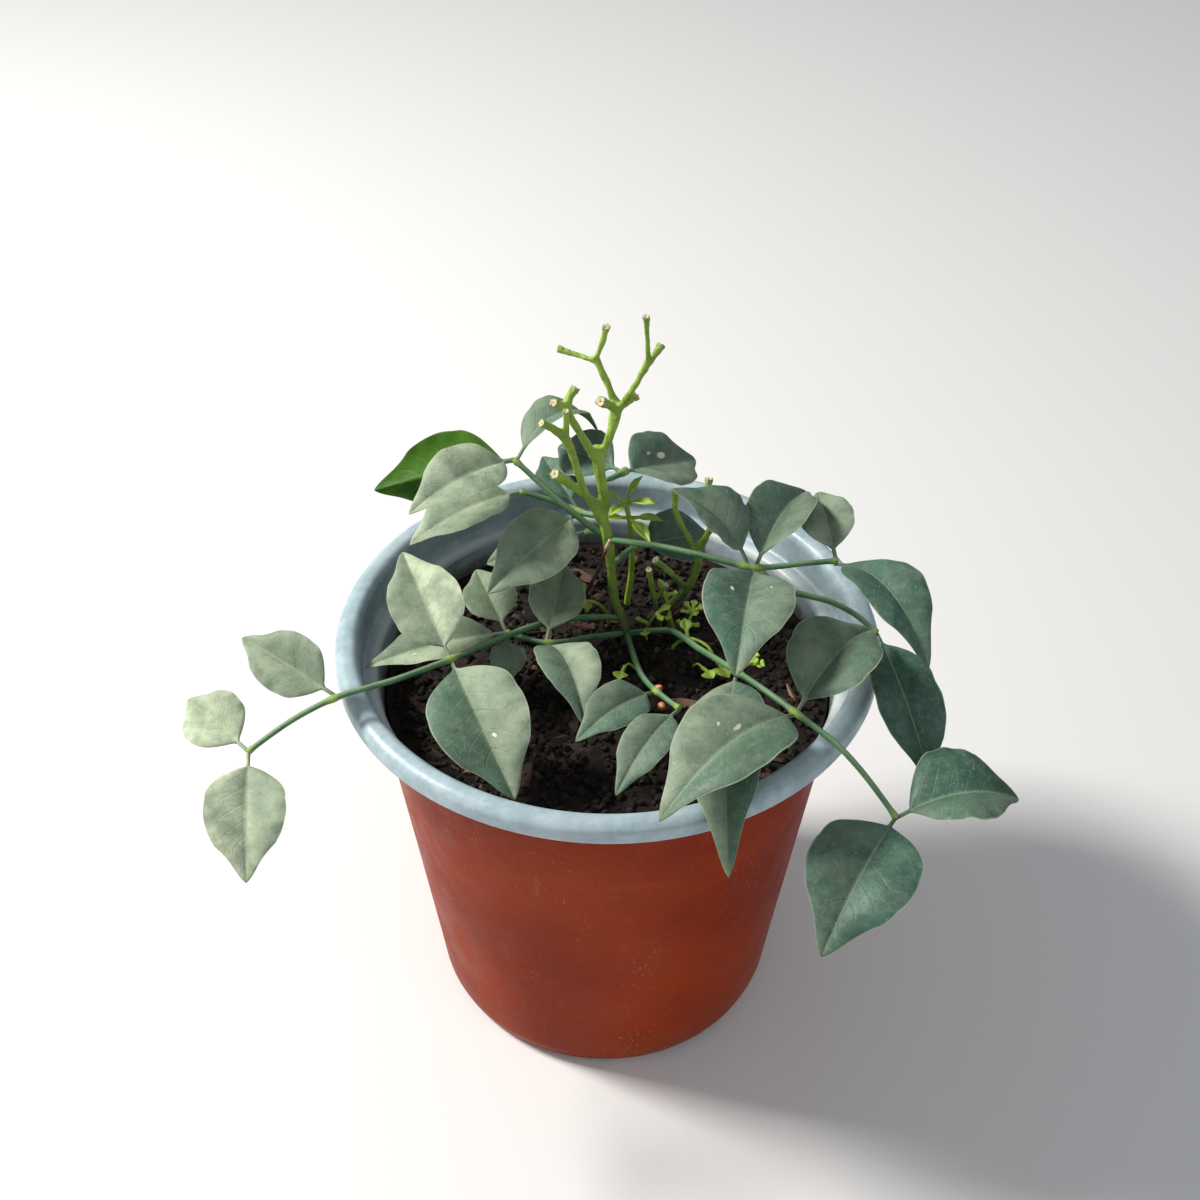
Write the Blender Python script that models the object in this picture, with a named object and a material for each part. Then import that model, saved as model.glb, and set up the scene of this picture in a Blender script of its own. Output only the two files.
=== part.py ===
"""A young pandorea vine in a two-colour nursery pot.

The pot stands on Z = 0 with its axis on Z.  Its rolled lip, its collar and
its tapering wall are one moulding.  The potting mix fills it to a little
under the ledge.  The cut-back stems root in the mix, and each compound leaf
is a thin stalk with leaflets.

All sizes below are in millimetres; meshes are made in metres.
"""

import math

import bpy
import numpy as np

MM = 0.001

# Pot
RIM_RADIUS = 75.0
POT_HEIGHT = 132.0
WALL = 1.3
LIP_WIDTH = 5.5
LIP_HEIGHT = 6.0
LIP_SKIRT = 1.2
COLLAR_HEIGHT = 13.0
LEDGE_WIDTH = 4.5
WALL_TAPER = 12.5
FOOT_CHAMFER = 5.5
FOOT_ROUND_HEIGHT = 18.0
FEET = 4
FOOT_TURN = -1.3
DRAIN_ARCH_TURN = 30.0
DRAIN_NOTCH_TURN = 6.0
DRAIN_HEIGHT = 2.6
DRAIN_DEPTH = 4.0
POT_SIDES = 60

# Potting mix
SOIL_DROP = 20.0
SOIL_LUMP = 1.4
SOIL_SIDES = 48
ROOT_DEPTH = 8.0

# Plant
TOUCH_GAP = 0.3
STALK_RADIUS = 0.95
STALK_TIP_RADIUS = 0.75
NECK_LENGTH = 2.5
NECK_HALF_WIDTH = 0.6
BLADE_THICKNESS = 0.7
BUD_RADIUS = 1.2
LEAFLET_SCALE = 1.0
STEM_SCALE = 1.0
TUBE_SIDES = 7

# The foliage is laid out over a pot of this radius with its mix this far
# down.  Past CROWN_START it moves with the rim, and is fully tied to it from
# CROWN_FULL on, so what crosses the rim still clears it when the pot changes.
LAYOUT_RADIUS = 75.0
LAYOUT_DROP = 20.0
CROWN_START = 15.0
CROWN_FULL = 50.0

SOIL_LEVEL = POT_HEIGHT - SOIL_DROP
COLLAR_RADIUS = RIM_RADIUS - LIP_WIDTH
WALL_TOP_RADIUS = COLLAR_RADIUS - LEDGE_WIDTH
WALL_FOOT_RADIUS = WALL_TOP_RADIUS - WALL_TAPER
FOOT_RADIUS = WALL_FOOT_RADIUS - FOOT_CHAMFER

# Stems: each is a list of branches, and each branch runs through points
# (across, back, up from the mix, radius).
MAIN_STEM = {
    "trunk": [(6, 17, -ROOT_DEPTH, 1.9), (5.5, 17, 3, 1.8), (4, 17, 9, 1.6), (2, 18, 15, 1.6),
              (1, 19, 26, 1.5), (0, 19, 36, 1.8), (-1.5, 19, 44, 1.6), (-1, 19, 49, 1.8),
              (-2, 18, 57, 1.6), (-3, 17, 66, 2.0), (-3.2, 17, 69, 1.7)],
    "right_limb": [(-3, 17, 64, 1.3), (0, 18, 71, 1.3), (2, 20, 79, 1.9), (1, 21, 82, 1.2),
                   (-2, 23, 89, 1.1), (-4, 24, 93, 1.3)],
    "right_limb_left_tip": [(-4, 24, 91.5, 0.9), (-8, 25.5, 92, 0.9), (-13, 27, 93, 1.1)],
    "right_limb_right_tip": [(-4, 24, 91.5, 0.9), (-2.2, 23.5, 96, 0.9), (-1, 23, 102, 1.1)],
    "inner_limb": [(2, 20, 78, 1.3), (6, 17, 87, 1.0), (10, 14, 98, 1.2)],
    "inner_limb_tip": [(10, 14, 97, 0.9), (9.5, 13, 105, 0.8), (9, 12, 112, 0.9)],
    "inner_limb_stub": [(10, 14, 97, 0.9), (13, 17, 100.5, 1.2)],
    "node_stub_right": [(2, 20, 79, 1.1), (7, 23, 81, 1.2)],
    "node_stub_left": [(2, 20, 79, 1.2), (-2, 16, 84, 1.5)],
    "left_limb": [(-3, 17, 64, 1.3), (-9, 13, 79, 1.2), (-11, 11, 86, 1.5), (-9, 13, 90, 1.2)],
    "left_limb_stub": [(-10.8, 11.2, 85, 1.1), (-14, 8, 89, 1.2)],
    "side_twig": [(-1.5, 19, 41, 1.2), (-7, 12, 60, 1.1), (-11, 6, 79, 1.4), (-17, 3, 86, 1.1)],
    "side_twig_stub": [(-11, 6, 78, 1.0), (-11, 4, 89, 0.9)],
    "short_spur": [(-1.5, 19, 47, 1.2), (-9, 12, 59, 1.2), (-14, 7, 67, 1.5)],
}
SECOND_STEM = {
    "trunk": [(15, 28.5, -ROOT_DEPTH, 1.7), (16, 28, 1, 1.6), (20, 27, 7, 1.5), (24, 26, 14, 1.4),
              (26, 26, 22, 1.4), (25, 26, 28, 1.6)],
    "left_limb": [(25, 26, 26.5, 1.1), (19.5, 30, 36, 1.1), (19, 32, 43, 1.3)],
    "right_limb": [(25, 26, 26.5, 1.2), (28, 24, 34, 1.1), (30, 23, 40, 1.5), (32, 22, 44, 1.3),
                   (32.5, 21, 49, 1.2)],
    "right_limb_front": [(32, 22, 43.5, 1.0), (35.5, 17, 49, 1.2)],
    "right_limb_back": [(30, 23, 39, 1.1), (28, 26, 44, 1.0), (28, 28, 50, 1.2)],
    "front_stub": [(23, 26.3, 12.5, 1.0), (18, 20, 23, 1.0), (13.5, 17, 30, 1.2)],
}
THIN_STEM = {
    "trunk": [(15, 21, -ROOT_DEPTH, 1.0), (15, 21, 2, 1.0), (13.5, 18, 15, 0.9), (11.5, 14, 29, 1.0)],
    "spur": [(13.6, 18.2, 14, 0.7), (16.5, 17, 21, 0.8)],
}
YOUNG_SHOOT = {
    "trunk": [(6, 34, -ROOT_DEPTH, 1.1), (6, 34, 0, 1.0), (7, 33, 12, 0.9), (7, 31, 26, 0.9),
              (6, 30, 35, 0.8), (5, 30, 40, 0.7)],
}
DEAD_TWIG = {
    "trunk": [(-8.5, 28, -5, 0.6), (-7.5, 27, 5, 0.55), (-3, 16.5, 26, 0.5), (0.5, 11, 42, 0.45)],
}
SEEDLING = {
    "trunk": [(0.5, 26, -5, 0.6), (0, 25, 3, 0.6), (-3, 23, 9, 0.5), (-6.5, 20, 12.5, 0.45)],
}
SPRIG = {
    "trunk": [(18, 12, -5, 0.6), (19, 12, 2, 0.6), (23, 9, 8, 0.55), (28, 5, 9, 0.5),
              (31, 2, 5.5, 0.45)],
}

# Small fresh leaves that grew in one piece with their shoot:
# (branch point, length, width, heading, pitch).
YOUNG_SHOOT_LEAVES = [
    (5, 9, 3.2, 200, 40), (5, 12, 4.0, -40, 25), (5, 10, 3.4, 20, 60), (5, 9, 3.4, -120, 10),
    (4, 12, 3.6, -60, -5), (4, 10, 3.4, -15, 5), (4, 9, 3.2, -150, 15),
]
SEEDLING_LEAVES = [(3, 6.5, 3.2, 200, 20), (3, 6.0, 3.0, -80, 10), (3, 6.0, 3.0, 110, 45)]
SPRIG_LEAVES = [(4, 6.5, 5.6, -60, -10), (2, 6.5, 3.6, 100, 25)]

# Leaf stalks: the stem point each one leaves from, then its own points
# (across, back, up from the mix).  Leaflets sit at these points.
STALKS = {
    "left_low": (("main_stem", 2), [(-9, 12, 13), (-22, 2, 18), (-42, -19, 25), (-56, -30, 27.5),
                                     (-70, -36, 27), (-82, -41, 23), (-93, -45, 16)]),
    "left_short": (("main_stem", 1), [(-6, 7, 10), (-17, -1, 15), (-28, 1, 17)]),
    "left_high": (("main_stem", 5), [(-11, 21, 45), (-19, 25, 51), (-26, 29, 56)]),
    "left_middle": (("main_stem", 6), [(-8, 23, 42.5), (-16, 27, 43.5), (-24.5, 29, 45)]),
    "left_inner": (("main_stem", 5), [(-3.5, 22.5, 35.5), (-6, 25, 34)]),
    "back_high": (("main_stem", 8), [(1, 22, 55), (4, 26, 54)]),
    "back_low": (("main_stem", 4), [(5, 23, 28), (8, 26, 28)]),
    "right_high": (("main_stem", 5), [(14, 6, 44), (27, -1, 46), (39, -4, 45), (51, -3, 45.5),
                                       (61, -1, 45)]),
    "right_middle": (("right_high", 3), [(46, -8, 41), (58, -9, 38), (66, -10, 34), (72, -13, 30)]),
    "front_right": (("main_stem", 1), [(18, 10, 10), (25, -5, 17), (34, -23, 25), (41, -35, 29),
                                        (48, -43, 29), (58, -52, 26.5), (66, -58, 20), (73, -63, 12)]),
    "front": (("main_stem", 1), [(9, -7, 10), (13, -20, 15), (19, -30, 18)]),
}

# Leaflets: stalk and stalk point, then length, width, heading, pitch, roll,
# droop, fold and twist (the last six in degrees).
LEAFLETS = {
    "left_low_1": ("left_low", 3, 33, 20, 117, 24, -12, 25, 12, 8),
    "left_low_2": ("left_low", 3, 43, 26, -64, -19, 10, 30, 12, -10),
    "left_low_3": ("left_low", 5, 29, 17, 150, 13, -25, 20, 14, 10),
    "left_low_4": ("left_low", 7, 22, 17, 140, 10, -20, 20, 16, -10),
    "left_low_5": ("left_low", 7, 33, 21, -86, -28, 0, 25, 12, 10),
    "left_short_1": ("left_short", 2, 26, 16, 80, 14, 10, 30, 14, 5),
    "left_short_2": ("left_short", 2, 34, 17, -71, -1, -5, 95, 12, 5),
    "left_short_3": ("left_short", 3, 22, 15, 115, 14, -10, 25, 14, -5),
    "left_short_4": ("left_short", 3, 39, 15, -164, -5, -5, 25, 12, 5),
    "left_short_5": ("left_short", 3, 16, 10, -86, -12, 0, 20, 10, 0),
    "left_high_1": ("left_high", 3, 35, 18, -138, -1, -14, 52, 14, 5),
    "left_high_2": ("left_high", 3, 42, 22, 173, -20, 110, 25, 12, 10),
    "left_high_3": ("left_high", 3, 31, 16, 43, -5, -12, 105, 14, 20),
    "left_middle_1": ("left_middle", 3, 35, 17, -145, -5, -5, 40, 12, 5),
    "left_middle_2": ("left_middle", 1, 35, 19, -134, -13, -30, 34, 14, -5),
    "left_inner_1": ("left_inner", 2, 29, 16, -174, -19, -30, 30, 12, 5),
    "left_middle_3": ("left_middle", 1, 22, 12, 116, 6, -15, 20, 12, 0),
    "back_high_1": ("back_high", 2, 32, 21, 47, -21, 22, 12, 12, 5),
    "back_high_2": ("back_high", 2, 26, 16, 133, -12, -30, 25, 12, -5),
    "back_low_1": ("back_low", 2, 31, 17, 42, -22, 35, 25, 12, 5),
    "right_high_1": ("right_high", 3, 27, 20, 150, 32, 8, 60, 14, 5),
    "right_high_2": ("right_high", 3, 33, 18, 62, 4, 0, 70, 25, 10),
    "right_high_3": ("right_high", 3, 41, 24, -100, -2, -3, 60, 10, 5),
    "right_high_4": ("right_high", 5, 23, 15, 98, 12, -10, 35, 16, -10),
    "right_high_5": ("right_high", 5, 41, 19, -61, -8, -3, 94, 12, 5),
    "right_middle_1": ("right_middle", 4, 43, 19, -70, -33, -5, 30, 12, -10),
    "front_right_1": ("front_right", 5, 34, 24, 51, 7, 3, 80, 14, 5),
    "front_right_2": ("front_right", 5, 49, 26, -135, -3, 0, 72, 12, 5),
    "front_right_3": ("front_right", 8, 41, 28, -121, -17, -6, 68, 10, -5),
    "front_right_4": ("front_right", 8, 32, 27, 12, -1, -2, 70, 14, 8),
    "front_right_5": ("front_right", 3, 60, 20, -94, -12, 10, 80, 10, 0),
    "front_1": ("front", 2, 28, 14, -136, 1, -12, 65, 12, 5),
    "front_2": ("front", 3, 30, 13, -123, -12, -5, 65, 12, -5),
}

BLADE_ROWS = 8
BLADE_HALF_COLUMNS = 2


def remove_scene_objects():
    for thing in list(bpy.data.objects):
        bpy.data.objects.remove(thing, do_unlink=True)


def material(name, colour, roughness):
    finish = bpy.data.materials.new(name)
    finish.use_nodes = True
    shader = finish.node_tree.nodes["Principled BSDF"]
    shader.inputs["Base Color"].default_value = (*colour, 1.0)
    shader.inputs["Roughness"].default_value = roughness
    shader.inputs["Metallic"].default_value = 0.0
    return finish


def add_object(name, points, faces, finish, smooth=True):
    """A mesh object from points in millimetres."""
    mesh = bpy.data.meshes.new(name)
    mesh.from_pydata([tuple(float(value) * MM for value in point) for point in points], [], faces)
    mesh.validate()
    if smooth:
        mesh.shade_smooth()
        mesh.set_sharp_from_angle(angle=math.radians(40))
    if finish is not None:
        mesh.materials.append(finish)
    thing = bpy.data.objects.new(name, mesh)
    bpy.context.scene.collection.objects.link(thing)
    return thing


def as_tool(thing):
    thing.hide_render = True
    thing.display_type = "WIRE"
    return thing


def add_boolean(thing, tool, operation):
    modifier = thing.modifiers.new(f"{operation.lower()}_{tool.name}", "BOOLEAN")
    modifier.operation = operation
    modifier.solver = "EXACT"
    modifier.object = tool


def turned(profile, sides):
    """Points and faces of a profile (radius, height) turned about Z, closed at the axis."""
    turns = np.linspace(0.0, 2 * math.pi, sides, endpoint=False)
    points = []
    rings = []
    for radius, height in profile:
        if radius == 0.0:
            rings.append([len(points)] * sides)
            points.append((0.0, 0.0, height))
            continue
        rings.append(list(range(len(points), len(points) + sides)))
        points.extend((radius * math.cos(turn), radius * math.sin(turn), height) for turn in turns)
    faces = []
    for lower, upper in zip(rings, rings[1:]):
        for side in range(sides):
            after = (side + 1) % sides
            corners = [lower[side], lower[after], upper[after], upper[side]]
            faces.append(list(dict.fromkeys(corners)))
    return points, faces


def wall_radius(height, inset=0.0):
    """Outside radius of the tapering wall at a height, less an inset."""
    top = POT_HEIGHT - COLLAR_HEIGHT
    share = (height - FOOT_ROUND_HEIGHT) / (top - FOOT_ROUND_HEIGHT)
    return WALL_FOOT_RADIUS + (WALL_TOP_RADIUS - WALL_FOOT_RADIUS) * share - inset


def make_pot():
    ledge = POT_HEIGHT - COLLAR_HEIGHT
    lip_foot = POT_HEIGHT - LIP_HEIGHT
    profile = [
        (0.0, 0.0),
        (FOOT_RADIUS, 0.0),
        (FOOT_RADIUS + 0.45 * FOOT_CHAMFER, 0.10 * FOOT_ROUND_HEIGHT),
        (FOOT_RADIUS + 0.75 * FOOT_CHAMFER, 0.35 * FOOT_ROUND_HEIGHT),
        (WALL_FOOT_RADIUS, FOOT_ROUND_HEIGHT),
        (WALL_TOP_RADIUS, ledge - 1.0),
        (WALL_TOP_RADIUS + 1.0, ledge),
        (COLLAR_RADIUS - 0.5, ledge + 0.6),
        (COLLAR_RADIUS, ledge + 1.4),
        (COLLAR_RADIUS + 0.3, POT_HEIGHT - 2.2),
        (RIM_RADIUS - LIP_SKIRT - 0.5, POT_HEIGHT - 2.2),
        (RIM_RADIUS - LIP_SKIRT, POT_HEIGHT - 2.8),
        (RIM_RADIUS - LIP_SKIRT, lip_foot),
        (RIM_RADIUS, lip_foot),
        (RIM_RADIUS, POT_HEIGHT - 2.0),
        (RIM_RADIUS - 0.7, POT_HEIGHT - 0.6),
        (RIM_RADIUS - 2.4, POT_HEIGHT),
        (COLLAR_RADIUS + 1.0, POT_HEIGHT),
        (COLLAR_RADIUS - 0.5, POT_HEIGHT - 0.6),
        (COLLAR_RADIUS - WALL + 0.3, POT_HEIGHT - 2.0),
        (COLLAR_RADIUS - WALL, ledge + WALL + 1.2),
        (WALL_TOP_RADIUS - WALL + 0.6, ledge + WALL),
        (WALL_TOP_RADIUS - WALL, ledge),
        (WALL_FOOT_RADIUS - WALL, FOOT_ROUND_HEIGHT),
        (FOOT_RADIUS + 0.75 * FOOT_CHAMFER - WALL, 0.35 * FOOT_ROUND_HEIGHT + 0.3 * WALL),
        (FOOT_RADIUS - 0.5 * WALL, WALL),
        (0.0, WALL),
    ]
    pot = add_object("pot", *turned(profile, POT_SIDES), material("pot", (0.30, 0.055, 0.02), 0.55))
    for foot in range(FEET):
        start = FOOT_TURN + 360.0 * foot / FEET
        for label, centre, width in (("arch", 35.0, DRAIN_ARCH_TURN), ("notch", 0.0, DRAIN_NOTCH_TURN)):
            cutter = drain_cutter(f"drain_{label}_{foot + 1}", start + centre, width)
            add_boolean(pot, cutter, "DIFFERENCE")
    return pot


def drain_cutter(name, centre, width, steps=4):
    """A curved block that cuts a drain opening width degrees wide between two feet."""
    turns = np.radians(np.linspace(centre - width / 2, centre + width / 2, steps + 1))
    near = FOOT_RADIUS - DRAIN_DEPTH
    far = FOOT_RADIUS + 2 * FOOT_CHAMFER
    outline = [(near, -1.0), (far, -1.0), (far, DRAIN_HEIGHT), (near, DRAIN_HEIGHT)]
    points = []
    for turn in turns:
        points.extend((reach * math.cos(turn), reach * math.sin(turn), height) for reach, height in outline)
    faces = [[0, 1, 2, 3], [4 * steps + corner for corner in (3, 2, 1, 0)]]
    for step in range(steps):
        for corner in range(4):
            after = (corner + 1) % 4
            faces.append([4 * step + corner, 4 * step + 4 + corner, 4 * step + 4 + after, 4 * step + after])
    return as_tool(add_object(name, points, faces, None, smooth=False))


def soil_height(across, back):
    """Height of the lumpy top of the mix: a few crossed waves that die out at the wall."""
    radius = math.hypot(across, back)
    edge = wall_radius(SOIL_LEVEL)
    calm = max(0.0, 1.0 - (radius / edge) ** 4)
    waves = (
        math.sin(0.21 * across + 1.3) * math.cos(0.17 * back)
        + 0.7 * math.sin(0.37 * across - 0.31 * back)
        + 0.5 * math.cos(0.52 * back + 0.24 * across + 0.8)
    )
    return SOIL_LEVEL + SOIL_LUMP * calm * waves * 0.5


def make_soil(sockets):
    """The mix fills the pot up to its level, TOUCH_GAP inside the wall and floor."""
    inset = WALL + TOUCH_GAP
    profile = [
        (0.0, inset),
        (FOOT_RADIUS - 0.5 * WALL - TOUCH_GAP - 0.6, inset),
        (FOOT_RADIUS + 0.75 * FOOT_CHAMFER - inset - 0.4, 0.35 * FOOT_ROUND_HEIGHT + WALL),
        (wall_radius(FOOT_ROUND_HEIGHT, inset + 0.1), FOOT_ROUND_HEIGHT),
        (wall_radius(SOIL_LEVEL, inset + 0.1), SOIL_LEVEL),
    ]
    edge = profile[-1][0]
    profile += [(edge * share, SOIL_LEVEL) for share in (0.86, 0.70, 0.54, 0.38, 0.22, 0.0)]
    points, faces = turned(profile, SOIL_SIDES)
    for index, (across, back, height) in enumerate(points):
        if height == SOIL_LEVEL and math.hypot(across, back) < edge - 0.01:
            points[index] = (across, back, soil_height(across, back))
    soil = add_object("potting_mix", points, faces, material("potting_mix", (0.02, 0.012, 0.008), 0.95))
    for socket in sockets:
        add_boolean(soil, socket, "DIFFERENCE")
    return soil


def plant_point(across, back, up):
    """A plant point in the pot: past the crown it moves out and up with the rim."""
    radius = math.hypot(across, back)
    share = min(1.0, max(0.0, (radius - CROWN_START) / (CROWN_FULL - CROWN_START)))
    share = share * share * (3.0 - 2.0 * share)
    out = 1.0 + share * (RIM_RADIUS - LAYOUT_RADIUS) / max(radius, 1.0)
    lift = share * (SOIL_DROP - LAYOUT_DROP)
    return np.array([across * out, back * out, SOIL_LEVEL + up + lift])


def smooth_path(points, steps):
    """Catmull-Rom curve through the points, steps samples to a span."""
    points = np.asarray(points, float)
    ends = np.vstack([2 * points[0] - points[1], points, 2 * points[-1] - points[-2]])
    path = []
    for span in range(len(points) - 1):
        before, start, end, after = ends[span:span + 4]
        for step in range(steps):
            t = step / steps
            path.append(
                0.5 * (2 * start + (end - before) * t + (2 * before - 5 * start + 4 * end - after) * t**2
                       + (3 * start - before - 3 * end + after) * t**3)
            )
    path.append(points[-1])
    return np.array(path)


def tube(path, radii, sides=TUBE_SIDES):
    """A closed tube of the given radii along a path."""
    tangents = np.gradient(path, axis=0)
    tangents /= np.linalg.norm(tangents, axis=1)[:, None]
    across = np.cross(tangents[0], (0.31, 0.87, 0.38))
    points = []
    for centre, tangent, radius in zip(path, tangents, radii):
        across = across - tangent * float(across @ tangent)
        across /= np.linalg.norm(across)
        other = np.cross(tangent, across)
        for side in range(sides):
            turn = 2 * math.pi * side / sides
            points.append(centre + radius * (math.cos(turn) * across + math.sin(turn) * other))
    faces = []
    for ring in range(len(path) - 1):
        for side in range(sides):
            after = (side + 1) % sides
            low = ring * sides
            faces.append([low + side, low + after, low + sides + after, low + sides + side])
    faces.append(list(range(sides))[::-1])
    faces.append(list(range((len(path) - 1) * sides, len(path) * sides)))
    return points, faces


def branch_path(points, steps=3, grow=0.0):
    """Centre line and radii of one branch; grow widens it."""
    placed = [(*plant_point(*point[:3]), point[3] * STEM_SCALE + grow) for point in points]
    path = smooth_path(placed, steps)
    return path[:, :3], path[:, 3]


def direction(heading, pitch):
    """Unit vector at a heading from +X and a pitch above level, in degrees."""
    turn, rise = math.radians(heading), math.radians(pitch)
    return np.array([math.cos(turn) * math.cos(rise), math.sin(turn) * math.cos(rise), math.sin(rise)])


def ball(centre, radius, rings=4, sides=7):
    """A small closed ball."""
    profile = [
        (radius * math.sin(math.pi * ring / rings), -radius * math.cos(math.pi * ring / rings))
        for ring in range(1, rings)
    ]
    points, faces = turned([(0.0, -radius)] + profile + [(0.0, radius)], sides)
    return [np.asarray(point) + centre for point in points], faces


def blade(base, length, width, heading, pitch, roll, droop, fold, twist, rows=BLADE_ROWS):
    """A thin closed leaf blade from base to tip.

    The midrib is a shallow arch over the straight line from base to tip.
    The half-width follows a sine that is widest before the middle, the two
    halves rise from the midrib by the fold, and twist turns the blade about
    its midrib from base to tip.
    """
    tilt = math.radians(roll)
    along = direction(heading, pitch)
    level = direction(heading + 90, 0)
    upright = np.cross(along, level)
    side = math.cos(tilt) * level + math.sin(tilt) * upright
    normal = math.cos(tilt) * upright - math.sin(tilt) * level
    neck = NECK_LENGTH / length
    arch = length * math.tan(math.radians(droop) / 4) / 2
    columns = range(-BLADE_HALF_COLUMNS, BLADE_HALF_COLUMNS + 1)
    stations = [0.0, neck] + [neck + (1 - neck) * row / rows for row in range(1, rows + 1)]
    top = []
    bottom = []
    for station in stations:
        grown = max(0.0, (station - neck) / (1 - neck))
        spread = 0.5 * width * math.sin(math.pi * grown**0.8) ** 0.85 if 0 < grown < 1 else 0.0
        half = max(NECK_HALF_WIDTH, spread) if grown < 1 else 0.0
        top_row = []
        bottom_row = []
        for column in columns:
            v = column / BLADE_HALF_COLUMNS
            height = 4 * arch * station * (1 - station) + math.tan(math.radians(fold)) * spread * abs(v)
            height += math.tan(math.radians(twist)) * spread * v * (2 * station - 1)
            centre = base + along * (length * station) + side * (half * v) + normal * height
            half_thick = 0.5 * BLADE_THICKNESS * (1 - abs(v)) * (1.0 if grown < 1 else 0.0)
            top_row.append(centre + normal * half_thick)
            bottom_row.append(centre - normal * half_thick)
        top.append(top_row)
        bottom.append(bottom_row)
    return grid_solid(top, bottom)


def grid_solid(top, bottom):
    """Points and faces between two grids that share their side edges and their tip."""
    points = []
    index = {}

    def place(point):
        key = tuple(np.round(point, 6))
        if key not in index:
            index[key] = len(points)
            points.append(point)
        return index[key]

    upper = [[place(point) for point in row] for row in top]
    lower = [[place(point) for point in row] for row in bottom]
    faces = []
    for grid, flip in ((upper, False), (lower, True)):
        for near, far in zip(grid, grid[1:]):
            for column in range(len(near) - 1):
                corners = [near[column], far[column], far[column + 1], near[column + 1]]
                corners = list(dict.fromkeys(corners))
                if len(corners) > 2:
                    faces.append(corners[::-1] if flip else corners)
    end = list(dict.fromkeys(upper[0] + lower[0][::-1]))
    faces.append(end)
    return points, faces


def make_stem(name, branches, finish, leaves=()):
    """One stem: its branches and its own small leaves fused into one body."""
    stem = None
    for label, points in branches.items():
        path, radii = branch_path(points)
        tube_points, tube_faces = tube(path, radii)
        if stem is None:
            stem = add_object(name, tube_points, tube_faces, finish)
            continue
        tool = as_tool(add_object(f"{name}_{label}", tube_points, tube_faces, None))
        add_boolean(stem, tool, "UNION")
    trunk = branches["trunk"]
    for point in sorted({leaf[0] for leaf in leaves}):
        knuckle = ball(plant_point(*trunk[point][:3]), BUD_RADIUS)
        add_boolean(stem, as_tool(add_object(f"{name}_bud_{point}", *knuckle, None)), "UNION")
    for number, (point, length, width, heading, pitch) in enumerate(leaves, 1):
        base = plant_point(*trunk[point][:3]) + direction(heading, pitch) * 0.4 * BUD_RADIUS
        shape = blade(base, length, width, heading, pitch, 0, 25, 12, 0, rows=5)
        tool = as_tool(add_object(f"{name}_leaf_{number}", *shape, None))
        add_boolean(stem, tool, "UNION")
    return stem


def make_socket(name, branches):
    """The hole a stem fills in the mix, wider than the stem by TOUCH_GAP."""
    points = [tuple(point) for point in branches["trunk"]]
    path, radii = branch_path(points, grow=TOUCH_GAP * 1.3)
    above = next(i for i, centre in enumerate(path) if centre[2] > SOIL_LEVEL + 3 * SOIL_LUMP)
    path = path[:above + 1]
    path[0] = path[0] - np.array([0.0, 0.0, TOUCH_GAP])
    return as_tool(add_object(f"{name}_socket", *tube(path, radii[:above + 1]), None))


def clear_of(radius, half_width, lean):
    """How far along its own line a piece starts, to clear a round one that it leaves at a slant."""
    slant = math.sqrt(max(0.09, 1 - lean * lean))
    return (radius + TOUCH_GAP + half_width * abs(lean)) / slant


def stalk_start(root):
    """Centre, radius and unit direction of what a stalk leaves from."""
    parent, index = root
    if parent in STALKS:
        line = [plant_point(*point) for point in STALKS[parent][1]]
        index -= 1
        radius = STALK_RADIUS
    else:
        line = [plant_point(*point[:3]) for point in MAIN_STEM["trunk"]]
        radius = MAIN_STEM["trunk"][index][3] * STEM_SCALE
    along = line[index + 1] - line[index - 1]
    return line[index], radius, along / np.linalg.norm(along)


def stalk_points(name):
    """Points of a stalk, from just clear of its stem to its end."""
    root, points = STALKS[name]
    centre, radius, parent_line = stalk_start(root)
    placed = [plant_point(*point) for point in points]
    along = placed[0] - centre
    along /= np.linalg.norm(along)
    start = centre + along * clear_of(radius, STALK_RADIUS, float(along @ parent_line))
    return [start] + placed


def make_stalk(name, finish):
    points = stalk_points(name)
    path = smooth_path(points, 2)
    radii = np.linspace(STALK_RADIUS, STALK_TIP_RADIUS, len(path))
    return add_object(f"stalk_{name}", *tube(path, radii, 6), finish)


def make_leaflet(name, values, finish):
    stalk, index, length, width, heading, pitch, roll, droop, fold, twist = values
    points = stalk_points(stalk)
    node = points[index]
    before = node - points[index - 1]
    before /= np.linalg.norm(before)
    along = direction(heading, pitch)
    lean = float(along @ before)
    clear = clear_of(STALK_RADIUS, NECK_HALF_WIDTH, lean)
    if index == len(points) - 1 and lean > 0.5:
        clear = 2 * TOUCH_GAP + NECK_HALF_WIDTH
    base = node + along * clear
    length *= LEAFLET_SCALE
    width *= LEAFLET_SCALE
    shape = blade(base, length, width, heading, pitch, roll, droop, fold, twist)
    return add_object(f"leaflet_{name}", *shape, finish)


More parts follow.
